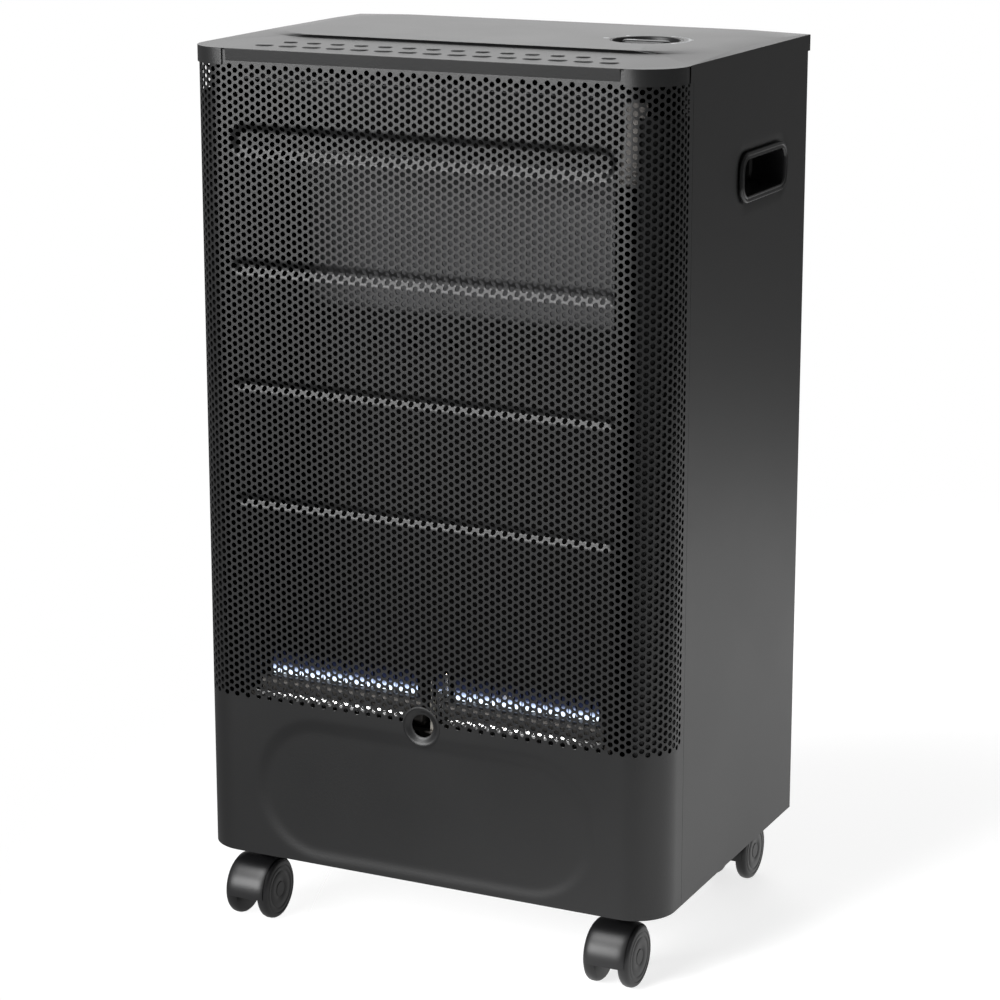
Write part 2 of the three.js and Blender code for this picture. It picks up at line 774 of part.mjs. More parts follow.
// ---------- handles ----------
// A cup let into the side panel, with a rim around it outside.
function handle() {
  const rect = (halfLong, halfHigh, radius, x0, x1) =>
    acrossX(roundedRect(halfLong, halfHigh, radius), x0, x1).translate(0, HANDLE_Y, HANDLE_Z);
  const floorX = HALF_W - CUP_DEPTH;
  const rim = rect(HANDLE_LONG / 2, HANDLE_HIGH / 2, 15, HALF_W + GAP, HALF_W + GAP + 2.6);
  const cup = rect(CUP_LONG / 2, CUP_HIGH / 2, 10.7, floorX, HALF_W + GAP + 1);
  const pocket = rect(CUP_LONG / 2 - 2, CUP_HIGH / 2 - 2, 8.7, floorX + 2, HALF_W + 10);
  return join(rim, cup).subtract(pocket);
}

// ---------- rear door ----------
const EYE_HIGH = 16;
const LATCH_NOTCH = 25; // half the height of the gap in the door's edge for the cam

function rearDoor() {
  const skinY = REAR - SHEET;
  const [low, high] = [DOOR_BOTTOM, DOOR_TOP];
  const body = block([-DOOR_HALF_W, REAR - DOOR_LIP, low], [DOOR_HALF_W, REAR, high]);
  const hollow = block(
    [-DOOR_HALF_W + SHEET, REAR - DOOR_LIP - 5, low + SHEET],
    [DOOR_HALF_W - SHEET, skinY, high - SHEET],
  );
  const latchNotch = block(
    [DOOR_HALF_W - 3, REAR - DOOR_LIP - 5, LATCH_Z - LATCH_NOTCH],
    [DOOR_HALF_W + 5, skinY, LATCH_Z + LATCH_NOTCH],
  );
  const latchHole = bar(4.4, [LATCH_X, REAR - 10, LATCH_Z], [LATCH_X, REAR + 5, LATCH_Z], 20);
  const eyes = [];
  const eyeBores = [];
  for (const z of Object.values(HINGE_HEIGHTS)) {
    eyes.push(bar(2.8, [HINGE_X, HINGE_Y, z], [HINGE_X, HINGE_Y, z + EYE_HIGH], 16));
    eyes.push(block([HINGE_X, HINGE_Y - 0.6, z], [HINGE_X + 7, HINGE_Y + 1.2, z + EYE_HIGH]));
    eyes.push(block([HINGE_X + 5, REAR - 0.5, z], [HINGE_X + 16, HINGE_Y + 1.2, z + EYE_HIGH]));
    eyeBores.push(bar(1.7, [HINGE_X, HINGE_Y, z - 2], [HINGE_X, HINGE_Y, z + EYE_HIGH + 2], 16));
  }
  const vents = [];
  for (let row = 0; row < 4; row += 1) {
    for (const x of [-80, 0, 80]) {
      for (const foot of [low + 40, high - 120]) {
        const z = foot + row * 16;
        vents.push(block([x - 30, REAR - 3, z], [x + 30, REAR + 3, z + 5]));
      }
    }
  }
  return cut(join(body.subtract(hollow), ...eyes), latchNotch, latchHole, ...eyeBores, ...vents);
}

// A pintle fixed to the side panel: the door's eye drops over its pin.
function hingePintle(z) {
  const leaf = block([HINGE_X - 13, REAR + GAP, z - 14], [HINGE_X - 2, REAR + 1.6, z - GAP]);
  const knuckle = bar(2.6, [HINGE_X, HINGE_Y, z - 14], [HINGE_X, HINGE_Y, z - GAP], 16);
  const web = block([HINGE_X - 3, REAR + GAP, z - 14], [HINGE_X, HINGE_Y, z - GAP]);
  const pin = bar(1.4, [HINGE_X, HINGE_Y, z - 2], [HINGE_X, HINGE_Y, z + EYE_HIGH + 2], 16);
  return join(leaf, knuckle, web, pin);
}

// A quarter-turn knob outside, its shaft through the door and a cam inside.
function doorLatch() {
  const body = turned(
    [
      [0, -9],
      [4, -9],
      [4, 0.4],
      [11, 0.4],
      [11, 3],
      [9.5, 4],
      [0, 4],
    ],
    24,
  )
    .rotate(-90, 0, 0)
    .translate(LATCH_X, REAR, LATCH_Z);
  const cam = block([LATCH_X - 5, REAR - 9, LATCH_Z - 5], [LATCH_X + 5, REAR - 6.5, LATCH_Z + 24]);
  const grip = block([LATCH_X - 1.8, REAR + 3.5, LATCH_Z - 9], [LATCH_X + 1.8, REAR + 5.6, LATCH_Z + 9]);
  return join(body, cam, grip);
}

// ---------- castors ----------
const HOOD_RADIUS = 27.5;
const HOOD_INNER = 26;
const HOOD_DIP = THREE.MathUtils.degToRad(4); // how far the hood reaches below the axle
const WEB_HALF = 3;
const HUB_HALF = 9.2; // the boss on the axle between the two wheels
const HUB_RADIUS = 7;
const WHEEL_X = HUB_HALF + 0.6;

// Hood, centre web, axle boss and stem in one moulding. The wheels trail towards -Y.
function castorHood() {
  const axle = [-CASTOR_TRAIL, WHEEL_RADIUS];
  const half = WHEEL_X + WHEEL_WIDTH - 3;
  const [start, end] = [-HOOD_DIP, Math.PI + HOOD_DIP];
  const band = new THREE.Shape();
  band.absarc(axle[0], axle[1], HOOD_RADIUS, start, end);
  band.absarc(axle[0], axle[1], HOOD_INNER, end, start, true);
  band.closePath();
  const web = new THREE.Shape();
  web.absarc(axle[0], axle[1], HOOD_RADIUS - 0.5, start, end);
  web.closePath();
  const hood = acrossX(band, -half, half);
  const hub = bar(HUB_RADIUS, [-HUB_HALF, axle[0], axle[1]], [HUB_HALF, axle[0], axle[1]], 20);
  const middle = acrossX(web, -WEB_HALF, WEB_HALF).add(hub);
  const boss = bar(9, [0, 0, 38], [0, 0, BODY_BASE - 1], 24);
  const clearOfWheels = bar(HOOD_INNER, [-half - 5, axle[0], axle[1]], [half + 5, axle[0], axle[1]], 40);
  const stem = bar(STEM_RADIUS - 0.2, [0, 0, 50], [0, 0, BODY_BASE + 22], 20);
  const axleBore = bar(AXLE_RADIUS + GAP, [-10, axle[0], axle[1]], [10, axle[0], axle[1]], 20);
  return join(hood, cut(boss, clearOfWheels), middle, stem).subtract(axleBore);
}

// A wheel with a rounded tread and a domed outer face, its axis along +X.
function castorWheel() {
  const bore = AXLE_RADIUS + 0.25;
  const rim = WHEEL_RADIUS;
  return turned(
    [
      [bore, 0],
      [rim - 1.5, 0],
      [rim, 1.5],
      [rim, WHEEL_WIDTH - 3.5],
      [rim - 1.2, WHEEL_WIDTH - 1.4],
      [rim - 4, WHEEL_WIDTH],
      [bore, WHEEL_WIDTH],
      [bore, 0],
    ],
    28,
  ).rotate(0, 90, 0);
}

function castor(name, x, y) {
  const group = new THREE.Group();
  group.position.set(x, y, 0);
  group.rotation.z = y > 0 ? Math.PI : 0;
  heater.add(group);
  piece(`castor_hood_${name}`, castorHood(), BLACK_PLASTIC, group);
  const axleHalf = WHEEL_X + WHEEL_WIDTH - 1;
  const axleEnd = (x) => [x, -CASTOR_TRAIL, WHEEL_RADIUS];
  piece(`castor_axle_${name}`, bar(AXLE_RADIUS, axleEnd(-axleHalf), axleEnd(axleHalf)), SPRING_STEEL, group);
  for (const [side, sign] of [["a", 1], ["b", -1]]) {
    const wheel = piece(`castor_wheel_${name}_${side}`, castorWheel(), BLACK_PLASTIC, group);
    wheel.position.set(sign * WHEEL_X, -CASTOR_TRAIL, WHEEL_RADIUS);
    wheel.scale.x = sign;
  }
}

// ---------- assembly ----------
piece("front_panel", frontPanel(), CHARCOAL);
pair("side_panel", sidePanel(), CHARCOAL);
piece("base_pan", basePan(), CHARCOAL);
piece("lid", lid(), CHARCOAL);

piece("partition", partition(), DARK_PLATE);
pair("chamber_wall", chamberWall(), DARK_PLATE);
piece("heat_deflector", deflector(), BRIGHT_PLATE);
piece("top_heat_shield", topShield(), BRIGHT_PLATE);
piece("burner_tray", burnerTray(), BRIGHT_PLATE);
piece("burner_left", burner(PILOT_X - 10, -152), BRIGHT_PLATE);
piece("burner_right", burner(PILOT_X + 10, 152), BRIGHT_PLATE);
piece("gas_manifold", gasManifold(), BRASS);
piece("injector_left", injector(-1), BRASS);
piece("injector_right", injector(1), BRASS);
piece("pilot_bracket", pilotBracket(), BRIGHT_PLATE);
piece("pilot_burner", pilotBurner(), BRASS);
piece("thermocouple", thermocouple(), COPPER);
piece("ignition_electrode", electrode(), CERAMIC);

piece("gas_valve", valveBody(), BRASS);
piece("valve_bracket", valveBracket(), BRIGHT_PLATE);
piece("piezo_igniter", igniter(), BLACK_PLASTIC);
piece("hose_nozzle", hoseNozzle(), BRASS);
piece("main_gas_pipe", mainPipe(), COPPER);
piece("pilot_gas_pipe", pilotPipe(), COPPER);
piece("knob_well", knobWell(), BLACK_PLASTIC);
piece("push_sleeve", pushSleeve(), SPRING_STEEL);
piece("knob_return_spring", returnSpring(), SPRING_STEEL);
piece("knob_spindle", knobSpindle(), SPRING_STEEL);
piece("control_knob", controlKnob(), BLACK_PLASTIC);

pair("handle", handle(), BLACK_PLASTIC);

piece("rear_door", rearDoor(), CHARCOAL);
piece("hinge_pintle_lower", hingePintle(HINGE_HEIGHTS.lower), SPRING_STEEL);
piece("hinge_pintle_upper", hingePintle(HINGE_HEIGHTS.upper), SPRING_STEEL);
piece("door_latch", doorLatch(), BLACK_PLASTIC);

for (const [name, sideX, sideY] of [
  ["front_left", -1, -1],
  ["front_right", 1, -1],
  ["rear_left", -1, 1],
  ["rear_right", 1, 1],
]) {
  castor(name, sideX * CASTOR_X, sideY * CASTOR_Y);
}

export default heater;
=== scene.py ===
# A portable gas cabinet heater, dressed in its finishes and fine shapes. Metres, +Z up.
# The front faces -Y. The sections follow the heater as it is put together.
import math

import bmesh
import bpy
from mathutils import Matrix, Vector


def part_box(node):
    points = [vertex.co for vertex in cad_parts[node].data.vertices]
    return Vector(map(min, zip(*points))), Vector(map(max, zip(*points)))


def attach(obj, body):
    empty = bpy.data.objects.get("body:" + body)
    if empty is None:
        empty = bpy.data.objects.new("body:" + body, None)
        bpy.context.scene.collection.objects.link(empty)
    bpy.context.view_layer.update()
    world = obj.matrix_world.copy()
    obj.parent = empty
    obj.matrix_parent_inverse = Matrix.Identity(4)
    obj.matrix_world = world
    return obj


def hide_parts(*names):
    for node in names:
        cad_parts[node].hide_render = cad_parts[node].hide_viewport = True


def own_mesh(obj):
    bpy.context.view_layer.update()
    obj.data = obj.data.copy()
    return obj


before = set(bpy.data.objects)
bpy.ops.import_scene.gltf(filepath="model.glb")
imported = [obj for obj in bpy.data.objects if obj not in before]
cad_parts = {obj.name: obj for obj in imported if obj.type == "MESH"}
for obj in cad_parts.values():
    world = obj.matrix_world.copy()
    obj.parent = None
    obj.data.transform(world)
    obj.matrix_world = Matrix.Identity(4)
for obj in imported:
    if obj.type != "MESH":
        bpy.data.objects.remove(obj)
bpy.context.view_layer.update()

# ---------- camera ----------
# A long lens at chest height, turned 26 degrees to the left and looking down on the lid.
LENS = 106.6
CAMERA_PLACE = (1.027, -2.136, 0.9665)
CAMERA_YAW = math.radians(25.70)
CAMERA_PITCH = math.radians(13.68)
CAMERA_SHIFT = -0.05

camera_data = bpy.data.cameras.new("camera")
camera_data.lens = LENS
camera_data.sensor_width = 36
camera_data.shift_y = CAMERA_SHIFT
camera = bpy.data.objects.new("camera", camera_data)
camera.location = CAMERA_PLACE
camera.rotation_euler = (math.pi / 2 - CAMERA_PITCH, 0, CAMERA_YAW)
bpy.context.collection.objects.link(camera)
bpy.context.scene.camera = camera


# ---------- floor pan and side panels ----------
# The cabinet's floor pan and its two side panels: folded sheet steel, welded together
# and powder-coated charcoal black with a fine satin grain. The side panels are pressed
# in a little around the handles, and carry on behind the corners of the front sheet.
class Paint:
    """One socket of a material's nodes. Sums and products of such sockets become Math nodes."""

    def __init__(self, material, socket=None):
        self.material = material
        self.socket = socket

    def node(self, kind, settings=None, inputs=None, output=0):
        """A new node of this kind: its settings are set first, then its inputs' values or links."""
        made = self.material.node_tree.nodes.new(kind)
        for name, value in (settings or {}).items():
            if name == "stops":
                ramp = made.color_ramp.elements
                while len(ramp) < len(value):
                    ramp.new(0.5)
                for stop, (place, colour) in zip(ramp, value):
                    stop.position = place
                    stop.color = (*colour, 1)
            else:
                setattr(made, name, value)
        for name, value in (inputs or {}).items():
            if isinstance(value, Paint):
                self.material.node_tree.links.new(value.socket, made.inputs[name])
            else:
                made.inputs[name].default_value = value
        return Paint(self.material, made.outputs[output])

    def maths(self, operation, *values):
        return self.node("ShaderNodeMath", {"operation": operation}, dict(enumerate(values)))

    def __add__(self, other):
        return self.maths("ADD", self, other)

    def __sub__(self, other):
        return self.maths("SUBTRACT", self, other)

    def __mul__(self, other):
        return self.maths("MULTIPLY", self, other)


def coating(name, **settings):
    """A new material with one principled shader, and the paint that its textures start from."""
    material = bpy.data.materials.new(name)
    material.use_nodes = True
    shader = material.node_tree.nodes["Principled BSDF"]
    for socket, value in settings.items():
        shader.inputs[socket.replace("_", " ")].default_value = value
    paint = Paint(material)
    paint.place = paint.node("ShaderNodeTexCoord", output="Object")
    return material, shader, paint


def feed(shader, socket, paint):
    paint.material.node_tree.links.new(paint.socket, shader.inputs[socket])


def noise(paint, scale, detail=2.0, roughness=0.5, stretch=None):
    """Noise between 0 and 1 over the piece, drawn out along an axis by stretch."""
    place = paint.place
    if stretch:
        place = paint.node("ShaderNodeMapping", inputs={"Vector": place, "Scale": stretch})
    values = {"Vector": place, "Scale": scale, "Detail": detail, "Roughness": roughness}
    return paint.node("ShaderNodeTexNoise", inputs=values)


def blend_colours(paint, amount, first, second):
    values = {0: amount, 6: (*first, 1), 7: (*second, 1)}
    return paint.node("ShaderNodeMix", {"data_type": "RGBA"}, values, output=2)


def relief(paint, shader, height, depth):
    bump = paint.node("ShaderNodeBump", inputs={"Height": height, "Distance": depth, "Strength": 1.0})
    feed(shader, "Normal", bump)


def spread(paint, value, low, high):
    """A value from 0 to 1 stretched to run from low to high."""
    return paint.node("ShaderNodeMapRange", inputs={"Value": value, "To Min": low, "To Max": high})


def powder_coat():
    """Charcoal-black satin powder coat: a fine pebbled grain and slight cloudiness."""
    material, shader, paint = coating("powder_coat", Specular_IOR_Level=0.4)
    cloud = noise(paint, 9.0, 3.0)
    charcoal = blend_colours(paint, cloud, (0.0068, 0.0069, 0.0071), (0.0098, 0.0099, 0.0102))
    feed(shader, "Base Color", charcoal)
    grain = noise(paint, 1900.0, 1.0)
    feed(shader, "Roughness", spread(paint, cloud * 0.6 + grain * 0.4, 0.34, 0.44))
    pebbles = noise(paint, 700.0, 2.0)
    relief(paint, shader, pebbles, 0.00006)
    return material


POWDER_COAT = powder_coat()


def sheen_angle(mesh, angle=35):
    """Smooth shading, kept sharp where the surface turns by more than this angle."""
    mesh.shade_smooth()
    mesh.set_sharp_from_angle(angle=math.radians(angle))


def shown(name, shape, material, body="cabinet", stands_for=(), sharp=35, level=False):
    """Makes a shape into a piece of the heater and puts it on the body that carries it.
    Level shading keeps its broad flat faces flat up to their rounded edges."""
    mesh = bpy.data.meshes.new(name)
    shape.to_mesh(mesh)
    shape.free()
    mesh.materials.append(material)
    sheen_angle(mesh, sharp)
    piece = bpy.data.objects.new(name, mesh)
    bpy.context.collection.objects.link(piece)
    if level:
        piece.modifiers.new("level", "WEIGHTED_NORMAL").keep_sharp = True
    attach(piece, body)
    if stands_for:
        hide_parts(*stands_for)
    return piece


def coated(name, shape, nodes, body="cabinet", sharp=35, level=False):
    """A powder-coated piece, shown in place of these nodes."""
    return shown(name, shape, POWDER_COAT, body, nodes, sharp, level)


def cad_shape(node):
    """A CAD piece's own shape, with the splits in its flat faces taken out."""
    shape = bmesh.new()
    shape.from_mesh(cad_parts[node].data)
    bmesh.ops.remove_doubles(shape, verts=shape.verts, dist=2e-6)
    bmesh.ops.dissolve_limit(shape, angle_limit=math.radians(1), verts=shape.verts, edges=shape.edges)
    return shape


def edges_rounded(shape, edges, width, segments):
    """These edges given a small radius."""
    bmesh.ops.bevel(
        shape, geom=edges, offset=width, segments=segments, profile=0.5,
        affect="EDGES", material=-1, clamp_overlap=True,
    )


def folds_rounded(shape, width, turn=40, segments=3):
    """Every fold sharper than this turn given a small radius."""
    folds = [e for e in shape.edges if len(e.link_faces) == 2 and e.calc_face_angle(0) > math.radians(turn)]
    edges_rounded(shape, folds, width, segments)


floor_pan = cad_shape("base_pan")
folds_rounded(floor_pan, 0.0004, turn=30, segments=2)
bmesh.ops.triangulate(floor_pan, faces=floor_pan.faces)
coated("floor_pan", floor_pan, ["base_pan"], level=True)

SHEET = 0.001
panel_low, panel_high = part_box("front_panel")
PANEL_BOTTOM = panel_low.z
PANEL_TOP = panel_high.z
HALF_WIDTH = panel_high.x
SIDE_START = panel_high.y + 0.0006
SIDE_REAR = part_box("side_panel_right")[1].y
# The edges of a side that are turned in: across which axis, where, and how far.
SIDE_TURN_INS = ((1, PANEL_BOTTOM, -0.012), (1, PANEL_TOP, 0.010), (0, SIDE_REAR, 0.0215))
LAP_LOW = 0.09
LAP_HIGH = 0.69
CORNER = 0.034
LAP_INWARD = 0.0019
LAP_TURN = 75
HANDLE_PLACE = Vector((0.048, 0.627))
SCOOP_HALF = (0.056, 0.026)
SCOOP_CORNER = 0.020
SCOOP_SLOPE = 0.009
SCOOP_DEPTH = 0.002
CUT_HALF = (0.0457, 0.0152)
CUT_CORNER = 0.0105
CUT_START = HALF_WIDTH - 0.012
CUT_LONG = 0.020
FOLD_RADIUS = 0.0012


def pressed_share(across, up, half_wide, half_high, corner, slope):
    """The share of a pressed field's depth here: 0 outside its rounded outline, 1 well inside."""
    over_x = abs(across) - (half_wide - corner)
    over_z = abs(up) - (half_high - corner)
    outside = math.hypot(max(over_x, 0), max(over_z, 0)) + min(max(over_x, over_z), 0) - corner
    share = min(max(-outside / slope, 0), 1)
    return share * share * (3 - 2 * share)


def moved(shape, geom, by):
    """Extruded or copied geometry shifted into its place."""
    verts = [part for part in geom if isinstance(part, bmesh.types.BMVert)]
    bmesh.ops.translate(shape, verts=verts, vec=by)
    return verts


def edges_at(shape, axis, place):
    """The edges that lie in the plane across an axis at this place."""
    return [e for e in shape.edges if all(abs(v.co[axis] - place) < 1e-5 for v in e.verts)]


def extended(shape, axis, place, by, edges=None):
    """The border at this place, or these edges of it, drawn out along the axis."""
    made = bmesh.ops.extrude_edge_only(shape, edges=edges or edges_at(shape, axis, place))
    step = Vector((0, 0, 0))
    step[axis] = by
    return moved(shape, made["geom"], step)


def faced_outward(shape):
    """A closed shape's faces turned to look outward."""
    bmesh.ops.recalc_face_normals(shape, faces=shape.faces)
    if shape.calc_volume(signed=True) < 0:
        bmesh.ops.reverse_faces(shape, faces=shape.faces)


def thickened(shape, thickness):
    """A skin given its sheet's thickness, away from the side that it faces."""
    bmesh.ops.solidify(shape, geom=shape.faces, thickness=thickness)
    faced_outward(shape)


def cut_out(piece, tool_shape):
    """A finished piece with the space of another shape cut away."""
    tool_mesh = bpy.data.meshes.new("tool")
    tool_shape.to_mesh(tool_mesh)
    tool_shape.free()
    tool = bpy.data.objects.new("tool", tool_mesh)
    bpy.context.collection.objects.link(tool)
    cutter = piece.modifiers.new("cut", "BOOLEAN")
    cutter.operation = "DIFFERENCE"
    cutter.solver = "EXACT"
    cutter.object = tool
    graph = bpy.context.evaluated_depsgraph_get()
    result = bpy.data.meshes.new_from_object(piece.evaluated_get(graph))
    piece.modifiers.remove(cutter)
    piece.data = result
    bpy.data.objects.remove(tool)


def inset(shape, faces, thickness, depth):
    """Faces drawn in from their outline by one distance and along their normal by another."""
    bmesh.ops.inset_region(
        shape, faces=faces, thickness=thickness, depth=depth, use_boundary=True, use_even_offset=True
    )


def extruded(shape, by):
    """A flat face made into a solid by this step."""
    made = bmesh.ops.extrude_face_region(shape, geom=shape.faces, use_keep_orig=True)["geom"]
    moved(shape, made, by)
    faced_outward(shape)


def joined(shape, other):
    """Another shape added to a shape."""
    added = bpy.data.meshes.new("added")
    other.to_mesh(added)
    other.free()
    shape.from_mesh(added)
    bpy.data.meshes.remove(added)


def side_sheet():
    """The right side's outer skin: a grid over its face, with its edges turned in."""
    shape = bmesh.new()
    bmesh.ops.create_grid(shape, x_segments=60, y_segments=150, size=0.5)
    long, high = SIDE_REAR - SIDE_START, PANEL_TOP - PANEL_BOTTOM
    bmesh.ops.scale(shape, verts=shape.verts, vec=(long, high, 1))
    middle = ((SIDE_REAR + SIDE_START) / 2, (PANEL_TOP + PANEL_BOTTOM) / 2, 0)
    bmesh.ops.translate(shape, verts=shape.verts, vec=middle)
    borders = [edges_at(shape, axis, place) for axis, place, _ in SIDE_TURN_INS]
    for turn_in, border in zip(SIDE_TURN_INS, borders):
        extended(shape, *turn_in, border)
    for vert in shape.verts:
        along, up, _ = vert.co
        turned_in = max(along - SIDE_REAR, 0) + max(PANEL_BOTTOM - up, 0) + max(up - PANEL_TOP, 0)
        across, above = along - HANDLE_PLACE.x, up - HANDLE_PLACE.y
        scoop = pressed_share(across, above, *SCOOP_HALF, SCOOP_CORNER, SCOOP_SLOPE)
        x = HALF_WIDTH - turned_in - SCOOP_DEPTH * scoop
        vert.co = Vector((x, min(along, SIDE_REAR), min(max(up, PANEL_BOTTOM), PANEL_TOP)))
    folds_rounded(shape, FOLD_RADIUS)
    return shape


def lap_strip():
    """The flange that carries the side on behind the front sheet and around its corner."""
    shape = bmesh.new()
    centre = Vector((HALF_WIDTH - CORNER, panel_low.y + CORNER))
    section = [(HALF_WIDTH - 0.0005, SIDE_START + 0.002), (HALF_WIDTH - LAP_INWARD, SIDE_START + 0.0006)]
    for step in range(11):
        turn = math.radians(LAP_TURN * step / 10)
        section.append(centre + (CORNER - LAP_INWARD) * Vector((math.cos(turn), -math.sin(turn))))
    rows = []
    for x, y in section:
        rows.append([shape.verts.new((x, y, z)) for z in (LAP_LOW, LAP_HIGH)])
    for (low, high), (next_low, next_high) in zip(rows, rows[1:]):
        shape.faces.new((low, high, next_high, next_low))
    thickened(shape, SHEET)
    return shape


def filled(shape, corners, height=0.0):
    """One flat face through these corners."""
    return shape.faces.new([shape.verts.new((x, y, height)) for x, y in corners])


def rounded(shape, verts, radius, segments=12):
    """The corners at these points of a flat face rounded to a radius."""
    bmesh.ops.bevel(
        shape, geom=verts, offset=radius, segments=segments, profile=0.5,
        affect="VERTICES", material=-1, clamp_overlap=True,
    )


def rounded_panel(half_long, half_high, corner, segments=10):
    """A flat face with round corners, about the origin and facing +Z."""
    shape = bmesh.new()
    filled(shape, [(x * half_long, y * half_high) for x, y in ((-1, -1), (1, -1), (1, 1), (-1, 1))])
    rounded(shape, shape.verts[:], corner, segments)
    return shape


def on_side(shape, x):
    """Turns a shape drawn flat so that it faces +X on the right side, about the handle's middle."""
    y, z = HANDLE_PLACE
    across_up_out = Matrix(((0, 0, 1, x), (1, 0, 0, y), (0, 1, 0, z), (0, 0, 0, 1)))
    bmesh.ops.transform(shape, matrix=across_up_out, verts=shape.verts)


def mirrored(shape):
    """The same shape for the left side."""
    bmesh.ops.scale(shape, verts=shape.verts, vec=(-1, 1, 1))
    bmesh.ops.reverse_faces(shape, faces=shape.faces)


for side in ("left", "right"):
    panel = side_sheet()
    opening = rounded_panel(*CUT_HALF, CUT_CORNER)
    extruded(opening, (0, 0, CUT_LONG))
    on_side(opening, CUT_START)
    thickened(panel, SHEET)
    side_piece = coated(f"side_{side}", panel, [f"side_panel_{side}"])
    cut_out(side_piece, opening)
    cut_panel = bmesh.new()
    cut_panel.from_mesh(side_piece.data)
    joined(cut_panel, lap_strip())
    if side == "left":
        mirrored(cut_panel)
    cut_panel.to_mesh(side_piece.data)
    cut_panel.free()
    side_piece.modifiers.new("level", "WEIGHTED_NORMAL").keep_sharp = True

# ---------- perforated front ----------
# One steel sheet wraps both rounded front corners. It is punched with some seven and a
# half thousand round holes in staggered columns, and pressed with four cross beads for
# stiffness.
FRONT = panel_low.y
FLAT_HALF = HALF_WIDTH - CORNER
ARC = CORNER * math.pi / 2
SEAM = FLAT_HALF + ARC + panel_high.y - FRONT - CORNER + 0.0003

HOLE_RADIUS = 0.0022
HOLE_SIDES = 12
HOLE_PITCH = 0.0063
COLUMN_STEP = 0.00505
COLUMN_PAIRS = 46
ROWS = 82
HOLES_BOTTOM = 0.1956
HOLES_TOP = HOLES_BOTTOM + (ROWS + 0.5) * HOLE_PITCH
HOLES_HALF = COLUMN_PAIRS * COLUMN_STEP

# Each bead's height above the floor, half its breadth, how far it is pressed in, and
# the breadth of its slopes.
BEADS = ((0.6547, 0.0128, 0.0034, 0.0055), (0.5545, 0.0062, 0.0028, 0.0050))
BEADS += ((0.4595, 0.0050, 0.0024, 0.0045), (0.3645, 0.0050, 0.0024, 0.0045))
BEAD_HALF_LONG = 0.165


def wrapped(along, up, inward=0.0):
    """The place on the front sheet this far along it from the middle, and at this height."""
    reach = abs(along)
    turn = min(max(reach - FLAT_HALF, 0) / CORNER, math.pi / 2)
    x = min(reach, FLAT_HALF) + (CORNER - inward) * math.sin(turn)
    y = FRONT + CORNER - (CORNER - inward) * math.cos(turn) + max(reach - FLAT_HALF - ARC, 0)
    return Vector((math.copysign(x, along), y, up))


def bead_depth(along, up):
    """How far the beads press the front sheet in here."""
    return max(
        depth * pressed_share(along, up - height, BEAD_HALF_LONG, half_high, half_high, slope)
        for height, half_high, depth, slope in BEADS
    )


def repeated(shape, count, step):
    """The whole shape again and again, each copy one more step away."""
    unit = shape.verts[:] + shape.edges[:] + shape.faces[:]
    for copy in range(1, count):
        moved(shape, bmesh.ops.duplicate(shape, geom=unit)["geom"], Vector(step) * copy)


def punched_sheet(first_pair, pairs):
    """Pairs of columns of holes in the flat: x along the sheet, y up it, z into the heater."""
    shape = bmesh.new()
    border = bmesh.ops.create_circle(shape, segments=HOLE_SIDES, radius=1)["verts"]
    for vert in border:
        quarters = round(2.2 * abs(vert.co.y))
        vert.co.y = math.copysign(quarters * HOLE_PITCH / 4, vert.co.y)
        vert.co.x = math.copysign(COLUMN_STEP / 2, vert.co.x) if abs(vert.co.x) > 0.1 else 0
    bmesh.ops.create_circle(shape, segments=HOLE_SIDES, radius=HOLE_RADIUS)
    bmesh.ops.bridge_loops(shape, edges=shape.edges)
    bmesh.ops.translate(shape, verts=shape.verts, vec=(COLUMN_STEP / 2, HOLE_PITCH / 2, 0))
    repeated(shape, ROWS, (0, HOLE_PITCH, 0))
    bmesh.ops.remove_doubles(shape, verts=shape.verts, dist=1e-6)
    for quarter in range(2):
        extended(shape, 1, (ROWS + quarter / 4) * HOLE_PITCH, HOLE_PITCH / 4)
    everything = shape.verts[:] + shape.edges[:] + shape.faces[:]
    second = bmesh.ops.duplicate(shape, geom=everything)["geom"]
    verts = [part for part in second if isinstance(part, bmesh.types.BMVert)]
    centre = (COLUMN_STEP, (HOLES_TOP - HOLES_BOTTOM) / 2, 0)
    bmesh.ops.rotate(shape, verts=verts, cent=centre, matrix=Matrix.Rotation(math.pi, 3, "Z"))
    repeated(shape, pairs, (2 * COLUMN_STEP, 0, 0))
    bmesh.ops.remove_doubles(shape, verts=shape.verts, dist=1e-6)
    start = first_pair * 2 * COLUMN_STEP - HOLES_HALF
    bmesh.ops.translate(shape, verts=shape.verts, vec=(start, HOLES_BOTTOM, 0))
    extended(shape, 1, HOLES_TOP, PANEL_TOP - HOLES_TOP)
    for side in (-1, 1):
        extended(shape, 0, side * HOLES_HALF, side * (SEAM - HOLES_HALF))
    made = bmesh.ops.extrude_face_region(shape, geom=shape.faces, use_keep_orig=True)["geom"]
    moved(shape, made, (0, 0, SHEET))
    return shape


PORT_HEIGHT = 0.195
PORT_DISH = 0.0155


def port_tool():
    """The round space of the lighting port, through the front sheet."""
    shape = bmesh.new()
    across = Matrix.Translation((0, FRONT, PORT_HEIGHT)) @ Matrix.Rotation(math.pi / 2, 4, "X")
    bmesh.ops.create_cone(
        shape, cap_ends=True, segments=64, radius1=PORT_DISH, radius2=PORT_DISH, depth=0.02, matrix=across
    )
    return shape


for part, first_pair, pairs in (("left", 0, 15), ("middle", 15, 16), ("right", 31, 15)):
    sheet = punched_sheet(first_pair, pairs)
    for vert in sheet.verts:
        along, up, inward = vert.co
        vert.co = wrapped(along, up, bead_depth(along, up) + inward)
    faced_outward(sheet)
    mesh_piece = coated(f"front_mesh_{part}", sheet, ["front_panel"])
    if part == "middle":
        cut_out(mesh_piece, port_tool())

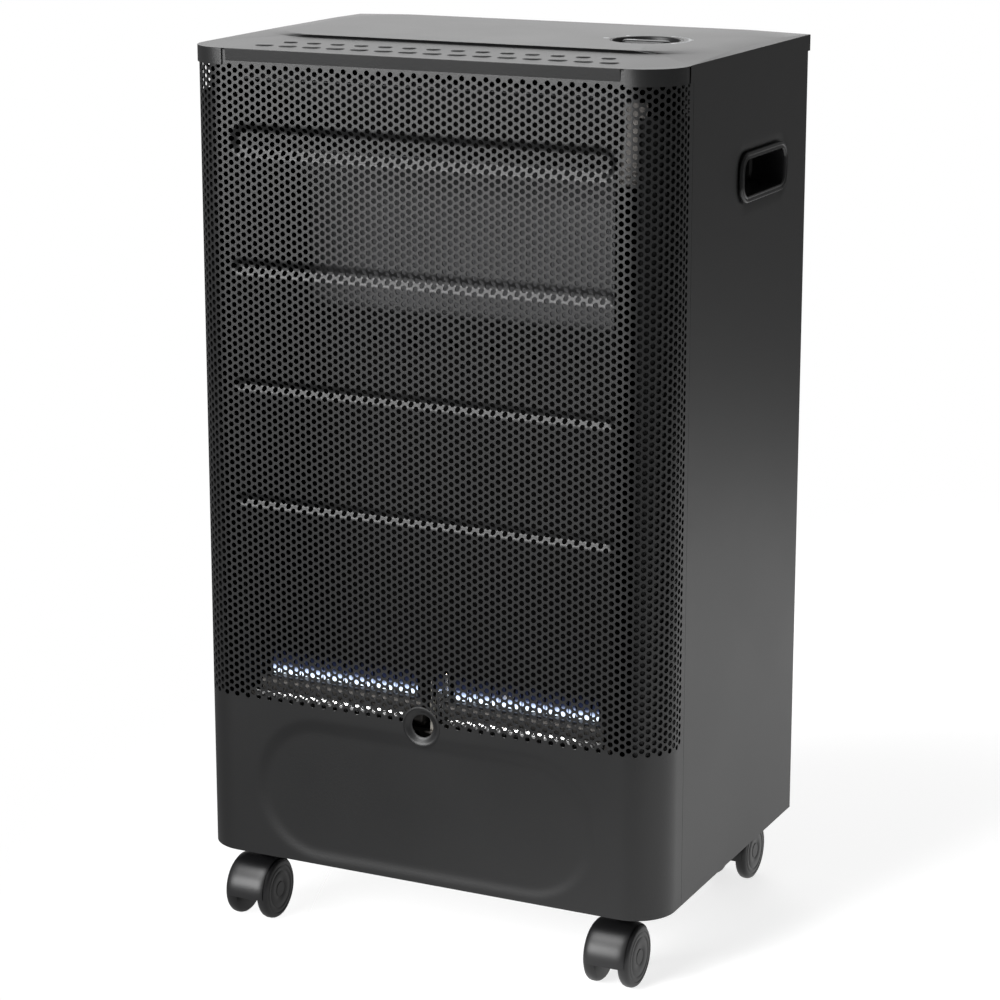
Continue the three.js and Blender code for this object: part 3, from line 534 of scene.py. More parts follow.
# ---------- front apron ----------
# The plain lower stretch of the same sheet, with a broad shallow field pressed into it,
# a lip folded in under the floor pan, and a dished port for lighting the pilot by hand.
FIELD_HALF_W = 0.153
FIELD_BOTTOM = 0.064
FIELD_TOP = 0.187
FIELD_CORNER = 0.060
FIELD_DEPTH = 0.0016
FIELD_SLOPE = 0.012
LIP = 0.012
LIP_START = 0.0015


def field_depth(along, up):
    """How far the field is pressed in here."""
    half_high = (FIELD_TOP - FIELD_BOTTOM) / 2
    above_middle = up - (FIELD_TOP + FIELD_BOTTOM) / 2
    share = pressed_share(along, above_middle, FIELD_HALF_W, half_high, FIELD_CORNER, FIELD_SLOPE)
    return FIELD_DEPTH * share


apron = bmesh.new()
bmesh.ops.create_grid(apron, x_segments=172, y_segments=50, size=0.5)
bmesh.ops.scale(apron, verts=apron.verts, vec=(2 * SEAM, HOLES_BOTTOM - PANEL_BOTTOM, 1))
bmesh.ops.translate(apron, verts=apron.verts, vec=(0, (HOLES_BOTTOM + PANEL_BOTTOM) / 2, 0))
extended(apron, 1, PANEL_BOTTOM, -LIP_START)
extended(apron, 1, PANEL_BOTTOM - LIP_START, LIP_START - LIP)
for vert in apron.verts:
    along, up = vert.co.x, vert.co.y
    under = max(PANEL_BOTTOM - up, 0)
    vert.co = wrapped(along, max(up, PANEL_BOTTOM), field_depth(along, up) + under)
folds_rounded(apron, 0.0009)
thickened(apron, SHEET)
apron_piece = coated("front_apron", apron, ["front_panel"])
cut_out(apron_piece, port_tool())


def turned(profile, axis, place, steps=48, closed=True):
    """A ring or solid of revolution. The profile's points are (radius, height along the axis)."""
    shape = bmesh.new()
    verts = [shape.verts.new((radius, 0, height)) for radius, height in profile]
    pairs = list(zip(verts, verts[1:]))
    if closed:
        pairs.append((verts[-1], verts[0]))
    for pair in pairs:
        shape.edges.new(pair)
    geom = shape.verts[:] + shape.edges[:]
    bmesh.ops.spin(
        shape, geom=geom, cent=(0, 0, 0), axis=(0, 0, 1), angle=2 * math.pi, steps=steps, use_merge=True
    )
    bmesh.ops.remove_doubles(shape, verts=shape.verts, dist=1e-6)
    faced_outward(shape)
    turn = Vector((0, 0, 1)).rotation_difference(Vector(axis)).to_matrix().to_4x4()
    bmesh.ops.transform(shape, matrix=Matrix.Translation(place) @ turn, verts=shape.verts)
    return shape


PORT_HOLE = 0.0095
PORT_DEPTH = 0.0028
dish_profile = [(PORT_DISH + 0.0012, -0.0002), (PORT_DISH, -0.0004)]
for step in range(9):
    share = step / 8
    radius = PORT_DISH - share * (PORT_DISH - PORT_HOLE)
    dish_profile.append((radius, PORT_DEPTH * share * share * (3 - 2 * share)))
under_side = [(radius + 0.0002, depth + SHEET) for radius, depth in reversed(dish_profile[2:])]
dish = turned(dish_profile + under_side, (0, 1, 0), (0, FRONT, PORT_HEIGHT))
coated("port_dish", dish, ["front_panel"], sharp=50)

# ---------- lid ----------
# One drawn steel sheet: a flat border around a raised platform, with its edges folded
# down outside the cabinet. The rounded front corners have drawn edges of their own, a
# slit away from the folded ones. A round hole in the platform holds the knob's well.
lid_low, lid_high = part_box("lid")
BORDER_TOP = 0.726
PLATFORM_TOP = 0.7298
LID_HALF_W = lid_high.x
LID_FRONT = lid_low.y
LID_REAR = lid_high.y
LID_CORNER = CORNER + LID_HALF_W - HALF_WIDTH
EDGE_STOP = 0.0400
EDGE_SLIT = 0.0032
FRONT_EDGE_HIGH = 0.0105
FRONT_EDGE_LEAN = 0.0014
EDGE_HIGH = 0.013
EDGE_RADIUS = 0.0011
# The platform's outline at its foot and at its top: half its width, front, rear, corners.
# Its front edge overhangs the foot by a little, and its other sides slope gently.
FOOT_TOP = 0.7279
PLATFORM_FOOT = (0.2010, -0.0605, 0.1440, 0.0520)
PLATFORM_CREST = (0.1800, -0.0620, 0.1230, 0.0440)
KNOB_PLACE = (0.119, 0.016)
WELL_RADIUS = 0.0287
WELL_ROOM = 0.0003


def corner_verts(shape, places):
    """The points of a shape that lie straight above or below these places."""
    return [v for v in shape.verts if any((v.co.xy - Vector(p)).length < 1e-5 for p in places)]


def filled_between(shape, edges):
    """Flat faces between two outlines, one inside the other."""
    bmesh.ops.triangle_fill(shape, edges=edges, use_beauty=True, use_dissolve=False, normal=(0, 0, 1))


lid = bmesh.new()
front_corners = [(-LID_HALF_W, LID_FRONT), (LID_HALF_W, LID_FRONT)]
side_stop = LID_FRONT + EDGE_STOP
front_stop = LID_HALF_W - EDGE_STOP
border = [(-LID_HALF_W, LID_REAR), (-LID_HALF_W, side_stop), (-LID_HALF_W, side_stop - EDGE_SLIT)]
border += [front_corners[0], (-front_stop - EDGE_SLIT, LID_FRONT), (-front_stop, LID_FRONT)]
border += [(-x, y) for x, y in reversed(border)]
filled(lid, border, BORDER_TOP)
rounded(lid, corner_verts(lid, front_corners), LID_CORNER)
bmesh.ops.delete(lid, geom=lid.faces, context="FACES_ONLY")
border_edges = lid.edges[:]

for height, outline in ((FOOT_TOP, PLATFORM_FOOT), (PLATFORM_TOP, PLATFORM_CREST)):
    half_wide, front, rear, corner = outline
    corners = [(-half_wide, front), (half_wide, front), (half_wide, rear), (-half_wide, rear)]
    filled(lid, corners, height)
    rounded(lid, corner_verts(lid, corners), corner, 16)
bmesh.ops.delete(lid, geom=lid.faces, context="FACES_ONLY")
platform_edges = edges_at(lid, 2, FOOT_TOP)
top_edges = edges_at(lid, 2, PLATFORM_TOP)
bmesh.ops.bridge_loops(lid, edges=platform_edges + top_edges)
well_hole = bmesh.ops.create_circle(
    lid, segments=64, radius=WELL_RADIUS + WELL_ROOM,
    matrix=Matrix.Translation((*KNOB_PLACE, PLATFORM_TOP)),
)["verts"]
well_edges = [e for e in lid.edges if all(v in well_hole for v in e.verts)]
filled_between(lid, top_edges + well_edges)
filled_between(lid, border_edges + platform_edges)


def stretch_of(edge):
    """Which turned-down edge of the lid an edge of its outline belongs to, or none for a slit."""
    x, y, _ = (edge.verts[0].co + edge.verts[1].co) / 2
    if abs(x) < front_stop and y < 0:
        return "front"
    if y > side_stop:
        return "sides"
    in_slit = abs(x) < front_stop + EDGE_SLIT or y > side_stop - EDGE_SLIT
    return "none" if in_slit else "corners"


# The front edge is folded a little past square.
for stretch, high, lean in (
    ("front", FRONT_EDGE_HIGH, FRONT_EDGE_LEAN), ("sides", EDGE_HIGH, 0), ("corners", EDGE_HIGH, 0)
):
    edges = [e for e in border_edges if e.is_valid and stretch_of(e) == stretch]
    made = bmesh.ops.extrude_edge_only(lid, edges=edges)
    moved(lid, made["geom"], (0, lean, -high))
bmesh.ops.recalc_face_normals(lid, faces=lid.faces)
if max(lid.faces, key=lambda f: f.calc_area()).normal.z < 0:
    bmesh.ops.reverse_faces(lid, faces=lid.faces)
folds = [e for e in border_edges if e.is_valid and e.calc_face_angle(0) > 1]
edges_rounded(lid, folds, EDGE_RADIUS, 4)
thickened(lid, SHEET)
bmesh.ops.triangulate(lid, faces=lid.faces)
coated("lid_sheet", lid, ["lid"], level=True)

# Two rows of low pressed ribs stiffen the front of the border.
RIB_HIGH = 0.0011
RIB_STEP = 0.021
# Each row's name, how many ribs, its place and height, and a rib's length and breadth.
RIB_ROWS = (("front", 15, -0.121, 0.7264, 0.0165, 0.0120), ("rear", 14, -0.098, 0.7269, 0.0125, 0.0100))


def capsule(long, wide, high):
    """A low domed bar with round ends, along X at the origin."""
    shape = bmesh.new()
    verts = bmesh.ops.create_circle(shape, cap_ends=True, segments=20, radius=wide / 2)["verts"]
    for vert in verts:
        vert.co.x += math.copysign((long - wide) / 2, vert.co.x)
    top = shape.faces[:]
    for share_in, share_up in ((0.06, 0.5), (0.1, 0.33), (0.14, 0.17)):
        inset(shape, top, share_in * wide, share_up * high)
    bmesh.ops.holes_fill(shape, edges=shape.edges, sides=0)
    faced_outward(shape)
    return shape


for row, count, y, height, long, wide in RIB_ROWS:
    ribs = capsule(long, wide, RIB_HIGH)
    start = (-(count - 1) / 2 * RIB_STEP, y, height)
    bmesh.ops.translate(ribs, verts=ribs.verts, vec=start)
    repeated(ribs, count, (RIB_STEP, 0, 0))
    coated(f"lid_ribs_{row}", ribs, ["lid"], sharp=80)

# ---------- gas knob and its well ----------
# A moulded cup of black plastic let into the platform, and in it the gas control: a
# round skirt with a fluted rim and a grip across it, pushed on to the valve's spindle.
# Plain marks around the cup, printed in pale grey, show off, pilot and three settings.
WELL_FLOOR = 0.712
WELL_BORE = 0.007
SKIRT_RADIUS = 0.0225
SKIRT_BOTTOM = 0.718
GRIP_TOP = 0.7295
GRIP_HALF_LONG = 0.0205
GRIP_HALF_WIDE = 0.0055


def black_plastic(name, gloss):
    """Black moulded plastic: a fine spark-eroded grain under a thin sheen."""
    material, shader, paint = coating(name, Specular_IOR_Level=0.4)
    cloud = noise(paint, 14.0, 2.0)
    feed(shader, "Base Color", blend_colours(paint, cloud, (0.006, 0.006, 0.0065), (0.011, 0.011, 0.0115)))
    grain = noise(paint, 1500.0, 1.0)
    feed(shader, "Roughness", spread(paint, grain * 0.5 + cloud * 0.5, gloss - 0.05, gloss + 0.08))
    relief(paint, shader, noise(paint, 1100.0, 2.0), 0.00004)
    return material


def mottled(name, scale, first, second, low, high, **settings):
    """A smooth finish that varies a little between two tones, its roughness from low to high."""
    material, shader, paint = coating(name, **settings)
    cloud = noise(paint, scale, 2.0)
    feed(shader, "Base Color", blend_colours(paint, cloud, first, second))
    feed(shader, "Roughness", spread(paint, cloud, low, high))
    return material


SATIN_PLASTIC = black_plastic("satin_plastic", 0.36)
GLOSSY_PLASTIC = black_plastic("glossy_plastic", 0.22)
PALE_PRINT = mottled("pale_print", 2200.0, (0.42, 0.43, 0.44), (0.56, 0.57, 0.58), 0.45, 0.6)

# The cup's section: in from its outside, and up from its floor.
WELL_SECTION = ((0.0015, -0.002), (0.0, -0.0005), (0.0, 0.0173), (0.0004, 0.0178), (0.0013, 0.0176))
WELL_SECTION += ((0.0018, 0.0168), (0.0024, 0.003), (0.0036, 0.0008), (0.006, 0.0))
well_outline = [(WELL_BORE, -0.002)] + [(WELL_RADIUS - inward, up) for inward, up in WELL_SECTION]
well_outline += [(WELL_BORE + 0.002, 0.0), (WELL_BORE, 0.0006)]
well = turned(well_outline, (0, 0, 1), (*KNOB_PLACE, WELL_FLOOR), steps=72)
shown("knob_cup", well, SATIN_PLASTIC, "cabinet", ["knob_well"], sharp=50)

FLUTES = 36
FLUTE_DEEP = 0.0004
SPINDLE_BORE = 0.0033
# The skirt's section: in from its rim, and up from its underside.
SKIRT_SECTION = ((0.0007, 0.0), (0.0, 0.0007), (0.0, 0.0029), (0.0006, 0.0040), (0.0018, 0.0045))
SKIRT_SECTION += ((0.006, 0.0045), (0.0075, 0.0039))
skirt_outline = [(SPINDLE_BORE, 0.0)] + [(SKIRT_RADIUS - inward, up) for inward, up in SKIRT_SECTION]
skirt_outline.append((SPINDLE_BORE, 0.0039))
skirt = turned(skirt_outline, (0, 0, 1), (*KNOB_PLACE, SKIRT_BOTTOM), steps=4 * FLUTES)
for vert in skirt.verts:
    out = vert.co.xy - Vector(KNOB_PLACE)
    if out.length > SKIRT_RADIUS - 0.0001:
        dip = FLUTE_DEEP * (1 - math.cos(math.atan2(out.y, out.x) * FLUTES)) / 2
        vert.co.xy = Vector(KNOB_PLACE) + out * (1 - dip / out.length)
shown("knob_skirt", skirt, SATIN_PLASTIC, "knob", ["control_knob"], sharp=50)

# Going up from the skirt, how far in and how far up each step of the grip is.
GRIP_STEPS = ((0.0002, 0.0050), (0.0003, 0.0011), (0.0005, 0.0008), (0.0009, 0.0004))
grip = bmesh.new()
grip_verts = bmesh.ops.create_circle(grip, cap_ends=True, segments=40, radius=GRIP_HALF_WIDE)["verts"]
for vert in grip_verts:
    vert.co.x += math.copysign(GRIP_HALF_LONG - GRIP_HALF_WIDE, vert.co.x)
grip_face = grip.faces[:]
for step_in, step_up in GRIP_STEPS:
    inset(grip, grip_face, step_in, step_up)
bmesh.ops.holes_fill(grip, edges=grip.edges, sides=0)
faced_outward(grip)
grip_high = max(v.co.z for v in grip.verts)
bmesh.ops.translate(grip, verts=grip.verts, vec=(*KNOB_PLACE, GRIP_TOP - grip_high))
shown("knob_grip", grip, SATIN_PLASTIC, "knob", ["control_knob"], sharp=50)

POINTER_OUT = 0.0125
pointer = capsule(0.009, 0.0016, 0.0003)
pointer_place = (KNOB_PLACE[0] - POINTER_OUT, KNOB_PLACE[1], GRIP_TOP - 0.0001)
bmesh.ops.translate(pointer, verts=pointer.verts, vec=pointer_place)
shown("knob_pointer", pointer, PALE_PRINT, "knob", ["control_knob"], sharp=80)

MARK_RING = 0.0345
MARK_HIGH = 0.00015
# Each mark's bearing around the cup, its length and its breadth.
SETTINGS = ((180, 0.0052, 0.0034), (138, 0.0052, 0.0026), (75, 0.0052, 0.0018))
SETTINGS += ((22.5, 0.0052, 0.0026), (-30, 0.0052, 0.0034))
TICKS = tuple((22.5 - 52.5 + number * 5.83, 0.0022, 0.0007) for number in range(1, 18) if number != 9)
marks = bmesh.new()
for bearing, long, wide in SETTINGS + TICKS:
    mark = capsule(long, wide, MARK_HIGH)
    place = Matrix.Translation((*KNOB_PLACE, PLATFORM_TOP)) @ Matrix.Rotation(math.radians(bearing), 4, "Z")
    bmesh.ops.transform(mark, matrix=place @ Matrix.Translation((MARK_RING, 0, 0)), verts=mark.verts)
    joined(marks, mark)
shown("dial_marks", marks, PALE_PRINT, sharp=80)

# ---------- handles ----------
# Each side has a moulded plastic grip cup, pushed through the panel from outside. Its
# rim has a rolled outer lip and an inner bead around the mouth.
RIM_HALF = (0.051, 0.020)
RIM_CORNER = 0.015
# Going in from the rim's edge: how far in and how far out each step of the moulding is.
RIM_STEPS = ((0.0001, 0.0012), (0.0004, 0.0008), (0.0008, 0.0005), (0.0008, 0.0001), (0.0006, -0.0005))
RIM_STEPS += ((0.0006, -0.0003), (0.0006, 0.0003), (0.0005, 0.0003), (0.0008, 0.0), (0.0004, -0.0005))
CUP_STEPS = ((0.0004, -0.0012), (0.0002, -0.013), (0.0002, -0.013), (0.0008, -0.002), (0.0015, -0.001))
CUP_WALL = 0.0016

for side in ("left", "right"):
    cup = rounded_panel(*RIM_HALF, RIM_CORNER)
    mouth = cup.faces[:]
    for step_in, step_out in RIM_STEPS + CUP_STEPS:
        inset(cup, mouth, step_in, step_out)
    thickened(cup, CUP_WALL)
    on_side(cup, HALF_WIDTH + 0.0003)
    if side == "left":
        mirrored(cup)
    shown(f"grip_cup_{side}", cup, GLOSSY_PLASTIC, "cabinet", [f"handle_{side}"], sharp=50)

# ---------- castors ----------
# Four twin-wheel castors in satin black nylon. Each hood swivels on its stem under the
# floor pan, and a short steel axle through the hood's hub carries two wheels.
CASTOR_PLACE = (0.163, 0.107)
TRAIL = 0.020
AXLE_HEIGHT = 0.025
WHEEL_START = 0.0098
HOOD_DIP = 4
WEB_THICK = 0.006
# The hood's section: radius from the axle, and distance along it, from the middle out.
HOOD_OUTSIDE = ((0.0274, 0.0), (0.0274, 0.009), (0.0272, 0.0125))
HOOD_OUTSIDE += ((0.0268, 0.0148), (0.0264, 0.0161), (0.0261, 0.0168))
HOOD_INSIDE = ((0.0258, 0.0166), (0.0259, 0.0125), (0.0259, 0.0))
HUB_OUTLINE = ((0.0033, -0.0092), (0.0066, -0.0092), (0.007, -0.0088))
HUB_OUTLINE += ((0.007, 0.0088), (0.0066, 0.0092), (0.0033, 0.0092))
BOSS_OUTLINE = ((0.0, 0.038), (0.009, 0.038), (0.009, 0.0602), (0.0082, 0.061))
BOSS_OUTLINE += ((0.0048, 0.061), (0.0048, 0.084), (0.0, 0.084))
# A wheel's section: radius, and distance out from its inner face. The outer face is closed.
WHEEL_OUTLINE = ((0.0, 0.0092), (0.0033, 0.0092), (0.0033, 0.0), (0.0215, 0.0))
WHEEL_OUTLINE += ((0.0232, 0.0006), (0.0244, 0.0019), (0.025, 0.0036), (0.025, 0.0062))
WHEEL_OUTLINE += ((0.0247, 0.0076), (0.0238, 0.0089), (0.0224, 0.0097), (0.0208, 0.0099), (0.0204, 0.0095))
WHEEL_OUTLINE += ((0.0196, 0.0095), (0.0192, 0.0099), (0.0165, 0.01), (0.0162, 0.0097), (0.0156, 0.0097))
WHEEL_OUTLINE += ((0.0153, 0.01), (0.0072, 0.0099), (0.0069, 0.0096), (0.0063, 0.0096))
WHEEL_OUTLINE += ((0.006, 0.01), (0.0, 0.01))


def hood_shell():
    """The hood: its section swept over the wheels, about an axle along X at the origin."""
    shape = bmesh.new()
    half = HOOD_OUTSIDE + HOOD_INSIDE
    section = half + tuple((r, -x) for r, x in reversed(half[1:-1]))
    dip = math.radians(HOOD_DIP)
    points = [(x, -r * math.cos(dip), -r * math.sin(dip)) for r, x in section]
    end = shape.faces.new([shape.verts.new(point) for point in points])
    geom = [end, *end.edges, *end.verts]
    sweep = -math.pi - 2 * dip
    bmesh.ops.spin(shape, geom=geom, cent=(0, 0, 0), axis=(1, 0, 0), angle=sweep, steps=48, use_merge=False)
    bmesh.ops.holes_fill(shape, edges=[e for e in shape.edges if e.is_boundary], sides=0)
    faced_outward(shape)
    return shape


def web_plate():
    """The plate between the wheels, from the hood down to just below the axle."""
    shape = bmesh.new()
    reach = HOOD_OUTSIDE[0][0] - 0.0008
    dip = math.radians(HOOD_DIP)
    angles = [-dip + step / 32 * (math.pi + 2 * dip) for step in range(33)]
    filled(shape, [(reach * math.cos(a), reach * math.sin(a)) for a in angles], -WEB_THICK / 2)
    extruded(shape, (0, 0, WEB_THICK))
    bmesh.ops.transform(shape, matrix=Matrix(((0, 0, 1), (1, 0, 0), (0, 1, 0))).to_4x4(), verts=shape.verts)
    return shape


for name, side_x, side_y in (
    ("front_left", -1, -1), ("front_right", 1, -1), ("rear_left", -1, 1), ("rear_right", 1, 1)
):
    turn = Matrix.Rotation(math.pi if side_y > 0 else 0, 4, "Z")
    castor_place = Matrix.Translation((side_x * CASTOR_PLACE[0], side_y * CASTOR_PLACE[1], 0)) @ turn
    axle_place = castor_place @ Matrix.Translation((0, -TRAIL, AXLE_HEIGHT))
    hood = hood_shell()
    joined(hood, web_plate())
    joined(hood, turned(HUB_OUTLINE, (1, 0, 0), (0, 0, 0), steps=32))
    bmesh.ops.transform(hood, matrix=axle_place, verts=hood.verts)
    boss = turned(BOSS_OUTLINE, (0, 0, 1), (0, 0, 0), steps=40, closed=False)
    bmesh.ops.transform(boss, matrix=castor_place, verts=boss.verts)
    joined(hood, boss)
    shown(f"hood_{name}", hood, SATIN_PLASTIC, f"castor_{name}", [f"castor_hood_{name}"])
    for wheel_side, out in (("a", 1), ("b", -1)):
        wheel = turned(WHEEL_OUTLINE, (1, 0, 0), (WHEEL_START, 0, 0), steps=64, closed=False)
        if out < 0:
            mirrored(wheel)
        bmesh.ops.transform(wheel, matrix=axle_place, verts=wheel.verts)
        node = f"castor_wheel_{name}_{wheel_side}"
        shown(f"wheel_{name}_{wheel_side}", wheel, SATIN_PLASTIC, node, [node], sharp=50)

# ---------- burner chamber ----------
# Behind the mesh: a heat-darkened partition and side walls, a steel deflector and heat
# shield, and on the tray two ported bar burners with the pilot's parts between them.
BURNER_PLACE = (-0.122, 0.213)
BURNER_SPANS = {"left": (-0.146, -0.012), "right": (0.020, 0.146)}
PORT_PITCH = 0.0067


def metal(name, dull, bright, low, high, grain=(40, 40, 40), dents=0.00002, **settings):
    """Bare metal: two tones in a drawn-out grain, roughness from low to high, fine dents."""
    material, shader, paint = coating(name, **{"Metallic": 1.0, **settings})
    streaks = noise(paint, 1.0, 3.0, stretch=grain)
    patches = noise(paint, 16.0, 2.0)
    feed(shader, "Base Color", blend_colours(paint, streaks * 0.5 + patches * 0.5, dull, bright))
    feed(shader, "Roughness", spread(paint, streaks, low, high))
    relief(paint, shader, noise(paint, 260.0, 2.0), dents)
    return material


# Heat-darkened steel for the chamber's partition and walls. The burner ports use the same near black as
# painted shade.
HEAT_STEEL_AND_PORT_SHADE = metal(
    "heat_darkened_steel", (0.0015, 0.0014, 0.0014), (0.004, 0.0036, 0.0035), 0.55, 0.75,
    Metallic=0.0, Specular_IOR_Level=0.05,
)
ALUMINISED = metal("aluminised_steel", (0.34, 0.345, 0.35), (0.48, 0.49, 0.50), 0.52, 0.66, (90, 90, 30))
STAINED_STEEL = metal(
    "heat_stained_steel", (0.05, 0.047, 0.045), (0.11, 0.105, 0.10), 0.40, 0.56, (60, 60, 60)
)
BRIGHT_PLATING = metal("bright_plating", (0.70, 0.70, 0.70), (0.86, 0.86, 0.86), 0.12, 0.22, (400, 60, 60))
BURNER_STEEL = metal("burner_steel", (0.20, 0.185, 0.17), (0.40, 0.38, 0.36), 0.28, 0.46, (30, 300, 300))
BRASS = metal("brass", (0.50, 0.35, 0.15), (0.66, 0.48, 0.23), 0.24, 0.40, (300, 300, 60))
COPPER = metal("copper", (0.48, 0.22, 0.13), (0.70, 0.36, 0.23), 0.24, 0.44, (120, 120, 60))
ZINC = metal("zinc_plate", (0.40, 0.41, 0.42), (0.56, 0.58, 0.60), 0.26, 0.42, (200, 200, 200))
CERAMIC = mottled(
    "glazed_ceramic", 300.0, (0.62, 0.59, 0.52), (0.76, 0.74, 0.68), 0.22, 0.36, Coat_Weight=0.5
)


def deflector_steel():
    """Aluminised sheet, dulled by the heat: near black up to 0.508 m, reaching its own tone by 0.516 m."""
    material, shader, paint = coating("deflector_steel", Metallic=1.0)
    height = paint.node("ShaderNodeSeparateXYZ", inputs={"Vector": paint.place}, output="Z")
    # Below 0.508 m the sheet is near black, rising to its own tone by 0.516 m.
    upper_share = paint.node("ShaderNodeMapRange", inputs={"Value": height, "From Min": 0.508, "From Max": 0.516})
    patches = noise(paint, 16.0, 3.0)
    upper_tone = upper_share * (patches * 0.5 + 0.6)
    feed(shader, "Base Color", blend_colours(paint, upper_tone, (0.006, 0.006, 0.006), (0.13, 0.13, 0.134)))
    grain = noise(paint, 1.0, 3.0, stretch=(90, 90, 30))
    feed(shader, "Roughness", spread(paint, grain, 0.50, 0.66))
    return material


DEFLECTOR_STEEL = deflector_steel()


def smoothed(node, material, body="cabinet", sharp=42):
    """A CAD piece's own shape with its round faces smoothed, shown in its place."""
    shape = cad_shape(node)
    bmesh.ops.triangulate(shape, faces=shape.faces)
    shown(f"{node}_finish", shape, material, body, [node], sharp, level=True)


for material, slot, nodes in (
    (HEAT_STEEL_AND_PORT_SHADE, "heat_darkened_steel", ("partition", "chamber_wall_left", "chamber_wall_right")),
    (DEFLECTOR_STEEL, "aluminised_steel", ("heat_deflector", "top_heat_shield")),
    (STAINED_STEEL, "aluminised_steel", ("burner_tray",)),
    (STAINED_STEEL, "burner_steel", ("burner_left", "burner_right")),
    (BURNER_STEEL, "burner_steel", ("pilot_bracket",)),
    (BRASS, "brass", ("gas_manifold", "injector_left", "injector_right")),
    (BRIGHT_PLATING, "brass", ("pilot_burner",)),
    (BRIGHT_PLATING, "copper_pipe", ("thermocouple",)),
    (CERAMIC, "ceramic", ("ignition_electrode",)),
    (COPPER, "copper_pipe", ("main_gas_pipe", "pilot_gas_pipe")),
    (BRASS, "brass", ("gas_valve", "hose_nozzle")),
    (ALUMINISED, "aluminised_steel", ("valve_bracket",)),
    (SATIN_PLASTIC, "black_plastic", ("piezo_igniter",)),
):
    for node in nodes:
        smoothed(node, material)

# The burners' port holes are not cut. Thin near-black capsules on the burners' tops stand in for them:
# painted shade of the openings.
PORT_LONG = 0.0116
PORT_WIDE = 0.0034
PORT_SUNK = 0.00005
for side, (start, end) in BURNER_SPANS.items():
    port_shades = capsule(PORT_LONG, PORT_WIDE, 0.0002)
    bmesh.ops.rotate(port_shades, verts=port_shades.verts, cent=(0, 0, 0), matrix=Matrix.Rotation(math.pi / 2, 3, "Z"))
    bmesh.ops.translate(port_shades, verts=port_shades.verts, vec=(start, BURNER_PLACE[0], BURNER_PLACE[1] - PORT_SUNK))
    repeated(port_shades, 1 + int((end - start) / PORT_PITCH), (PORT_PITCH, 0, 0))
    shown(f"burner_port_shades_{side}", port_shades, HEAT_STEEL_AND_PORT_SHADE, "cabinet")

# A narrow bright trim strip stands along the front of the tray, open at the middle for the
# pilot. It leans back a little.
TRIM_SPANS = {"left": (-0.155, -0.0145), "right": (0.0205, 0.155)}
TRIM_Y = -0.1405
TRIM_HEIGHT = 0.1990
TRIM_HIGH = 0.0075
TRIM_THICK = 0.0008
LEAN_BACK = math.radians(9)


def leaning_strip(start, end, thick, high, edge, y, z):
    """A flat strip from start to end along X that leans back, with its edges rounded over."""
    strip = bmesh.new()
    bmesh.ops.create_cube(strip, size=1)
    bmesh.ops.scale(strip, verts=strip.verts, vec=(end - start, thick, high))
    edges_rounded(strip, strip.edges, edge, 2)
    bmesh.ops.rotate(strip, verts=strip.verts, cent=(0, 0, 0), matrix=Matrix.Rotation(-LEAN_BACK, 3, "X"))
    bmesh.ops.translate(strip, verts=strip.verts, vec=((start + end) / 2, y, z))
    return strip


for side, span in TRIM_SPANS.items():
    trim = leaning_strip(*span, TRIM_THICK, TRIM_HIGH, 0.0002, TRIM_Y, TRIM_HEIGHT)
    shown(f"tray_trim_{side}", trim, BRIGHT_PLATING, "cabinet")

# ---------- corner stay ----------
# A short strip of heat-stained steel stands inside the front sheet's right corner, at the
# top of the chamber's side wall. It catches the light behind the holes.
STAY_SPAN = (0.1635, 0.1835)
STAY_MIDDLE = (-0.1365, 0.669)
STAY_HIGH = 0.062
STAY_THICK = 0.0010
stay = leaning_strip(*STAY_SPAN, STAY_THICK, STAY_HIGH, 0.0003, *STAY_MIDDLE)
shown("corner_stay", stay, STAINED_STEEL, "cabinet")

# ---------- flames ----------
# A short blue flame on every burner port and one on the pilot: pale at the foot, dim blue
# above, and gone at the tip.
FLAME_HIGH = 0.026
FLAME_OUTLINE = ((0.0, 0.0), (0.0021, 0.0004), (0.0027, 0.003), (0.0026, 0.008))
FLAME_OUTLINE += ((0.0019, 0.015), (0.0009, 0.022), (0.0, FLAME_HIGH))
PILOT_TIP = (0.004, BURNER_PLACE[0], 0.2185)


def flame_glow():
    material, shader, paint = coating("flame", Emission_Strength=2.2, Roughness=1.0, Specular_IOR_Level=0.0)
    shader.inputs["Base Color"].default_value = (0, 0, 0, 1)
    height = paint.node("ShaderNodeSeparateXYZ", inputs={"Vector": paint.place}, output="Z")
    share = paint.node(
        "ShaderNodeMapRange",
        inputs={"Value": height, "From Min": BURNER_PLACE[1], "From Max": BURNER_PLACE[1] + FLAME_HIGH},
    )
    flicker = noise(paint, 260.0, 2.0)
    stops = ((0.0, (0.80, 0.90, 1.0)), (0.18, (0.45, 0.55, 0.80)))
    stops += ((0.3, (0.014, 0.018, 0.040)), (1.0, (0.002, 0.003, 0.008)))
    tone = share + (flicker - 0.5) * 0.12
    colour = paint.node("ShaderNodeValToRGB", {"stops": stops}, {"Fac": tone})
    feed(shader, "Emission Color", colour)
    cover = {"Value": share, "From Max": 0.8, "To Min": 0.9, "To Max": 0.0}
    fade = paint.node("ShaderNodeMapRange", inputs=cover)
    feed(shader, "Alpha", fade)
    return material


FLAME = flame_glow()
for side, (start, end) in BURNER_SPANS.items():
    flames = turned(FLAME_OUTLINE, (0, 0, 1), (start, *BURNER_PLACE), steps=12, closed=False)
    repeated(flames, 1 + int((end - start) / PORT_PITCH), (PORT_PITCH, 0, 0))
    shown(f"flames_{side}", flames, FLAME, sharp=80)
pilot_flame = turned(FLAME_OUTLINE, (0, 0, 1), PILOT_TIP, steps=12, closed=False)
shown("pilot_flame", pilot_flame, FLAME, sharp=80)

# ---------- valve spindle and return spring ----------
# The knob's steel spindle runs down through a sleeve into the valve. A coil spring
# around the sleeve pushes the knob back up after lighting.
SPRING_FOOT = 0.6723
SPRING_HEAD = 0.6937
SPRING_RADIUS = 0.0068
WIRE_RADIUS = 0.0007
COILS = 7
COIL_STEPS = 24

